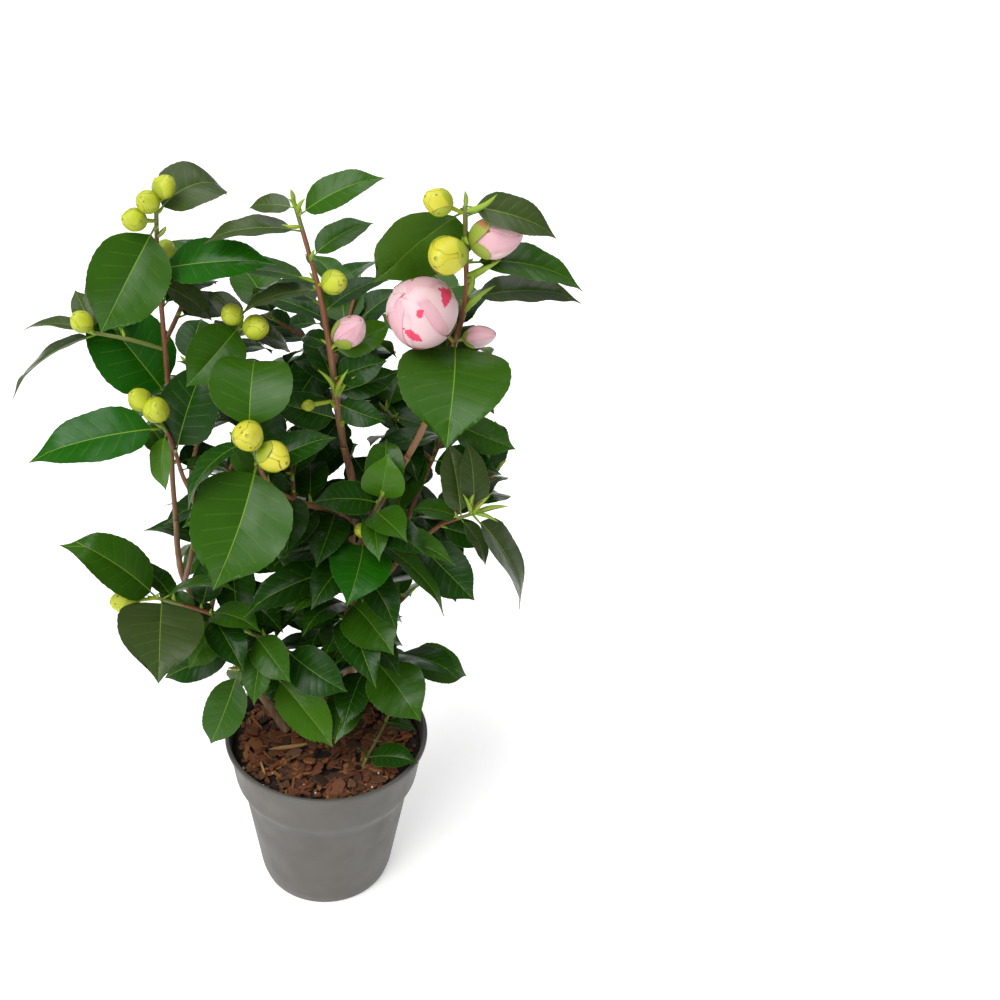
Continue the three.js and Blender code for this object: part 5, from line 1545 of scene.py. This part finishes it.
def makeShoots(grown):
    materials = colourMaterials("shoot", shootColours, shootLook)
    slots = numbered(shootColours)
    pile = newPile()
    random = seeded(shootShape["seed"])
    for name, mass in grown.items():
        for twigNumber, at, heading, rise, length, radius in shoots.get(name, []):
            root = pointOn(mass["twigs"][twigNumber]["points"], at)
            addShoot(pile, root, heading, rise, length, radius, random, slots)
        for twig in mass["twigs"]:  # each twig ends in a pointed bud
            way = unit(twig["points"][-1] - twig["points"][-2])
            least, span = shootShape["endLength"]
            length = least + span * random()
            addShoot(pile, twig["points"][-1] - way, *headingAndRise(way), length, shootShape["endRadius"],
                     random, slots)
        for leaf in mass["leaves"]:  # and small buds sit in the leaves' axils
            if random() < shootShape["axilShare"]:
                way = leaf["along"] * shootShape["axilLean"][0] + leaf["up"] * shootShape["axilLean"][1]
                least, span = shootShape["axilLength"]
                length = least + span * random()
                addShoot(pile, leaf["root"], *headingAndRise(way), length, shootShape["axilRadius"],
                         random, slots)
    makePiece("young_shoots", pile, materials)


# pot and potting bark

pot = {  # the wall's profile from the foot to the lip, and the drain holes
    "height": 135, "rimRadius": 75, "lipHeight": 4, "wall": 1.6, "floor": 2, "bandTopRadius": 72.6,
    "bandFootRadius": 68.2, "bandFoot": 98, "bandSlope": 10, "bodyTopRadius": 62.6, "bodyFootRadius": 50.8,
    "bodyFoot": 9, "footRadius": 48, "bandEdge": 0.6, "lipEdge": 0.8, "axis": 0.5, "sides": 160,
    "drainHoles": 6, "drainRadius": 5, "drainCircle": 38, "drainFrom": -4, "drainTo": 5, "drainSides": 32,
}
potLook = {
    "colour": (0.10, 0.094, 0.083), "rough": 0.6, "sheen": (0.45, 0.62, 55.0), "depth": 0.09,
    "mottleColours": ((0.090, 0.083, 0.073), (0.114, 0.106, 0.093)),
    "mottle": {"Scale": 16.0, "From": 0.3, "To": 0.7},
    "relief": {"Scale": 120.0, "Grain Scale": 1700.0, "Grain Share": 0.6},
}


def rounded(corners, steps=6):  # a profile with each corner rounded; a corner is [radius, height, rounding]
    points = [np.array(corners[0][:2], float)]
    for before, here, after in zip(corners, corners[1:], corners[2:]):
        a, b, c = (np.array(p[:2], float) for p in (before, here, after))
        size = here[2]
        if size == 0:
            points.append(b)
            continue
        start = b + unit(a - b) * min(size, 0.45 * np.linalg.norm(a - b))
        end = b + unit(c - b) * min(size, 0.45 * np.linalg.norm(c - b))
        for k in range(steps + 1):
            w = k / steps
            points.append((1 - w) ** 2 * start + 2 * w * (1 - w) * b + w * w * end)
    points.append(np.array(corners[-1][:2], float))
    return points


def potProfile():  # up the outside, over the lip and down the inside
    height, lip, wall = pot["height"], pot["lipHeight"], pot["wall"]
    step = pot["bandFoot"] + pot["bandEdge"]
    bodyTop = step - pot["bandSlope"]
    return rounded([
        [pot["axis"], 0, 0], [pot["footRadius"], 0, 2.2], [pot["bodyFootRadius"], pot["bodyFoot"], 3],
        [pot["bodyTopRadius"], bodyTop, 4.5], [pot["bandFootRadius"], step, 3.5],
        [pot["bandTopRadius"], height - lip, 0.5], [pot["rimRadius"], height - lip + pot["lipEdge"], 0.7],
        [pot["rimRadius"], height, 1.3], [pot["bandTopRadius"] - pot["bandEdge"], height, 0.8],
        [pot["bandTopRadius"] - wall, height - lip, 2], [pot["bandFootRadius"] - wall, step + wall, 2],
        [pot["bodyTopRadius"] - wall, bodyTop + wall, 3], [pot["bodyFootRadius"] - wall, pot["bodyFoot"], 3],
        [pot["footRadius"] - wall, pot["floor"], 1.5], [pot["axis"], pot["floor"], 0],
    ])


def makePot():
    turns = 2 * np.pi * np.arange(pot["sides"]) / pot["sides"]
    circle = np.stack([np.cos(turns), np.sin(turns)], -1)
    rings = []
    for radius, high in potProfile():
        rings.append(np.column_stack([circle * radius, np.full(pot["sides"], high)]))
    pile = newPile()
    addLoft(pile, rings, 0)
    grey = finishedMaterial("pot grey", potLook["colour"], potLook)
    shell = makePiece("nursery_pot", pile, [grey], ["pot"])
    drills = newPile()
    for k in range(pot["drainHoles"]):
        turn = 2 * math.pi * (k + 0.5) / pot["drainHoles"]
        x, y = pot["drainCircle"] * math.cos(turn), pot["drainCircle"] * math.sin(turn)
        line = np.array([[x, y, pot["drainFrom"]], [x, y, 0], [x, y, pot["drainTo"]]])
        addLoft(drills, tubeRings(line, np.full(3, pot["drainRadius"]), pot["drainSides"]), 0)
    cutHoles(shell, drills)


def cutHoles(shell, drills):
    mesh = bpy.data.meshes.new("drills")
    corners = [tuple(p) for p in np.concatenate(drills["points"]) * mm]
    faces = [tuple(map(int, f)) for kind in ("quads", "tris") for f in np.concatenate(drills[kind])]
    mesh.from_pydata(corners, [], faces)
    cutter = bpy.data.objects.new("drills", mesh)
    bpy.context.scene.collection.objects.link(cutter)
    cut = shell.modifiers.new("drain holes", "BOOLEAN")
    cut.object = cutter
    cut.operation = "DIFFERENCE"
    cut.solver = "EXACT"
    bpy.context.view_layer.update()
    done = bpy.data.meshes.new_from_object(shell.evaluated_get(bpy.context.evaluated_depsgraph_get()))
    shell.modifiers.clear()
    shell.data = done
    bpy.data.objects.remove(cutter)


soil = {  # rings: share of the radius, and height; gaps: to the lower body, the body and the band
    "level": 127, "radius": 69.3, "dip": 2.0, "dipFrom": 110, "sides": 72, "seed": 5,
    "lowerBody": 50, "gaps": (4, 3, 1),
    "rings": [(0.72, 20), (0.86, 95), (1.0, 104), (1.0, 123), (0.93, 124.5), (0.8, 125),
              (0.6, 125.5), (0.4, 125), (0.2, 125.5), (0.02, 125)],
}
chips = {  # the later ones are finer
    "count": 900, "length": [4, 21], "width": [0.4, 0.85], "thick": [0.8, 2.4], "sunk": 2.2, "top": 3.6,
    "tilt": 0.75, "edge": 0.6, "finer": 0.5,
    "woods": ["dark", "red", "brown", "orange", "red", "brown", "red", "orange"],
}
slivers = {  # thin ones that lie on top, few of them tan
    "count": 70, "length": (9, 13), "width": 1.6, "thick": 1.2, "above": 0.6, "top": 1.4, "edge": 0.55,
    "tilt": (0.3, 0.35), "woods": ["orange", "red", "brown", "tan"], "choice": 3.15,
}
specks = {"count": 9, "sizes": (1.6, 1.5, 1.4), "out": (0.75, 0.23), "sector": (1.15, 0.75), "above": 0.2}
straw = {"place": (-27, -13, 3.4), "sizes": (30, 2.8, 2.0), "angles": (0, -0.03, 0.12)}
soilColours = {
    "earth": (0.014, 0.007, 0.004), "dark": (0.050, 0.019, 0.008), "red": (0.160, 0.050, 0.017),
    "brown": (0.115, 0.047, 0.018), "orange": (0.260, 0.098, 0.026), "tan": (0.46, 0.26, 0.10),
    "white": (0.75, 0.72, 0.66),
}
soilLook = {
    "rough": 0.8, "sheen": (0.55, 0.85, 300.0), "depth": 0.35,
    "relief": {"Scale": 500.0, "Stretch": (1.0, 0.4, 1.0), "Grain Scale": 2300.0, "Grain Share": 0.5},
}


def turned(points, angles):
    rotation = Matrix.Rotation(angles[2], 3, "Z") @ Matrix.Rotation(angles[1], 3, "Y")
    return points @ np.array(rotation @ Matrix.Rotation(angles[0], 3, "X")).T


def addChip(pile, place, sizes, angles, slot, random, sides=7):  # a ragged slab in three rings
    turns = 2 * np.pi * (np.arange(sides) + np.array([0.5 * random() for _ in range(sides)])) / sides
    ragged = np.array([0.78 + 0.3 * random() for _ in range(sides)])
    rings = []
    for level, shrink in ((-0.5, 0.9), (0.1, 1.0), (0.5, 0.9)):
        jitter = np.array([0.9 + 0.2 * random() for _ in range(sides)])
        x = np.cos(turns) * ragged * jitter * shrink * sizes[0] / 2
        y = np.sin(turns) * ragged * jitter * shrink * sizes[1] / 2
        z = np.array([level * sizes[2] * (0.8 + 0.4 * random()) for _ in range(sides)])
        rings.append(np.stack([x, y, z], -1))
    addLoft(pile, turned(np.array(rings), angles) + place, slot)


def onSoil(out, turn, high):
    return np.array([out * math.cos(turn), out * math.sin(turn), high])


def addEarth(pile, random, slot):  # the body of the filling, kept inside the pot's wall
    turns = 2 * np.pi * np.arange(soil["sides"]) / soil["sides"]
    lowGap, bodyGap, bandGap = soil["gaps"]
    rings = []
    for share, high in soil["rings"]:
        uneven = np.full(soil["sides"], float(high))
        if high > soil["dipFrom"]:
            uneven += np.array([soil["dip"] * (random() - 0.5) for _ in turns])
        inner = share * soil["radius"]
        if high < soil["lowerBody"]:
            inner = min(inner, pot["bodyFootRadius"] - lowGap)
        if high < pot["bandFoot"]:
            inner = min(inner, pot["bodyTopRadius"] - bodyGap)
        if high < soil["dipFrom"]:
            inner = min(inner, pot["bandFootRadius"] - pot["wall"] - bandGap)
        rings.append(np.stack([np.cos(turns) * inner, np.sin(turns) * inner, uneven], -1))
    addLoft(pile, rings, slot["earth"])


def addChips(pile, random, slot):
    for k in range(chips["count"]):
        fine = k / chips["count"]
        length = mix(chips["length"], (1 - fine) * random())
        out = math.sqrt(random()) * (soil["radius"] - chips["edge"] * length)
        turn = 2 * math.pi * random()
        high = soil["level"] - chips["sunk"] + chips["top"] * random()
        width = length * mix(chips["width"], random())
        thick = mix(chips["thick"], random() * (1 - chips["finer"] * fine))
        angles = (chips["tilt"] * (random() - 0.5), chips["tilt"] * (random() - 0.5), 2 * math.pi * random())
        wood = chips["woods"][int(random() * len(chips["woods"]))]
        addChip(pile, onSoil(out, turn, high), (length, width, thick), angles, slot[wood], random)


def addSlivers(pile, random, slot):
    for _ in range(slivers["count"]):
        length = slivers["length"][0] + slivers["length"][1] * random()
        out = math.sqrt(random()) * (soil["radius"] - slivers["edge"] * length)
        turn = 2 * math.pi * random()
        place = onSoil(out, turn, soil["level"] + slivers["above"] + slivers["top"] * random())
        tilt = slivers["tilt"]
        angles = (tilt[0] * random(), tilt[1] * (random() - 0.5), 2 * math.pi * random())
        wood = slivers["woods"][int(random() * slivers["choice"])]
        sizes = (length, slivers["width"] + random(), slivers["thick"])
        addChip(pile, place, sizes, angles, slot[wood], random)


def addSpecks(pile, random, slot):
    for _ in range(specks["count"]):
        out = soil["radius"] * (specks["out"][0] + specks["out"][1] * random())
        turn = math.pi * (specks["sector"][0] + specks["sector"][1] * random())
        place = onSoil(out, turn, soil["level"] + specks["above"] + random())
        length, width, thick = specks["sizes"]
        sizes = (length + random(), width, thick)
        angles = (random(), random(), 6 * random())
        addChip(pile, place, sizes, angles, slot["white"], random)


def makeSoil():
    materials = colourMaterials("chip", soilColours, soilLook)
    slot = numbered(soilColours)
    random = seeded(soil["seed"])
    pile = newPile()
    addEarth(pile, random, slot)
    addChips(pile, random, slot)
    addSlivers(pile, random, slot)
    addSpecks(pile, random, slot)
    place = np.array(straw["place"]) + [0, 0, soil["level"]]
    addChip(pile, place, straw["sizes"], straw["angles"], slot["tan"], random)
    makePiece("bark_chips", pile, materials, ["potting_bark"], smooth=False)


setCamera()
sheenGroup, reliefGroup, mottleGroup = makeSheenGroup(), makeReliefGroup(), makeMottleGroup()
setSky()
setLamps()
setFloor()
print("studio set")
grown = growMasses()
print("grown", sum(len(mass["leaves"]) for mass in grown.values()), "leaves")
makeLeaves(grown)
makeStems()
makeTwigs(grown)
makeBuds(grown)
makeBlooms(grown)
makeShoots(grown)
makePot()
makeSoil()
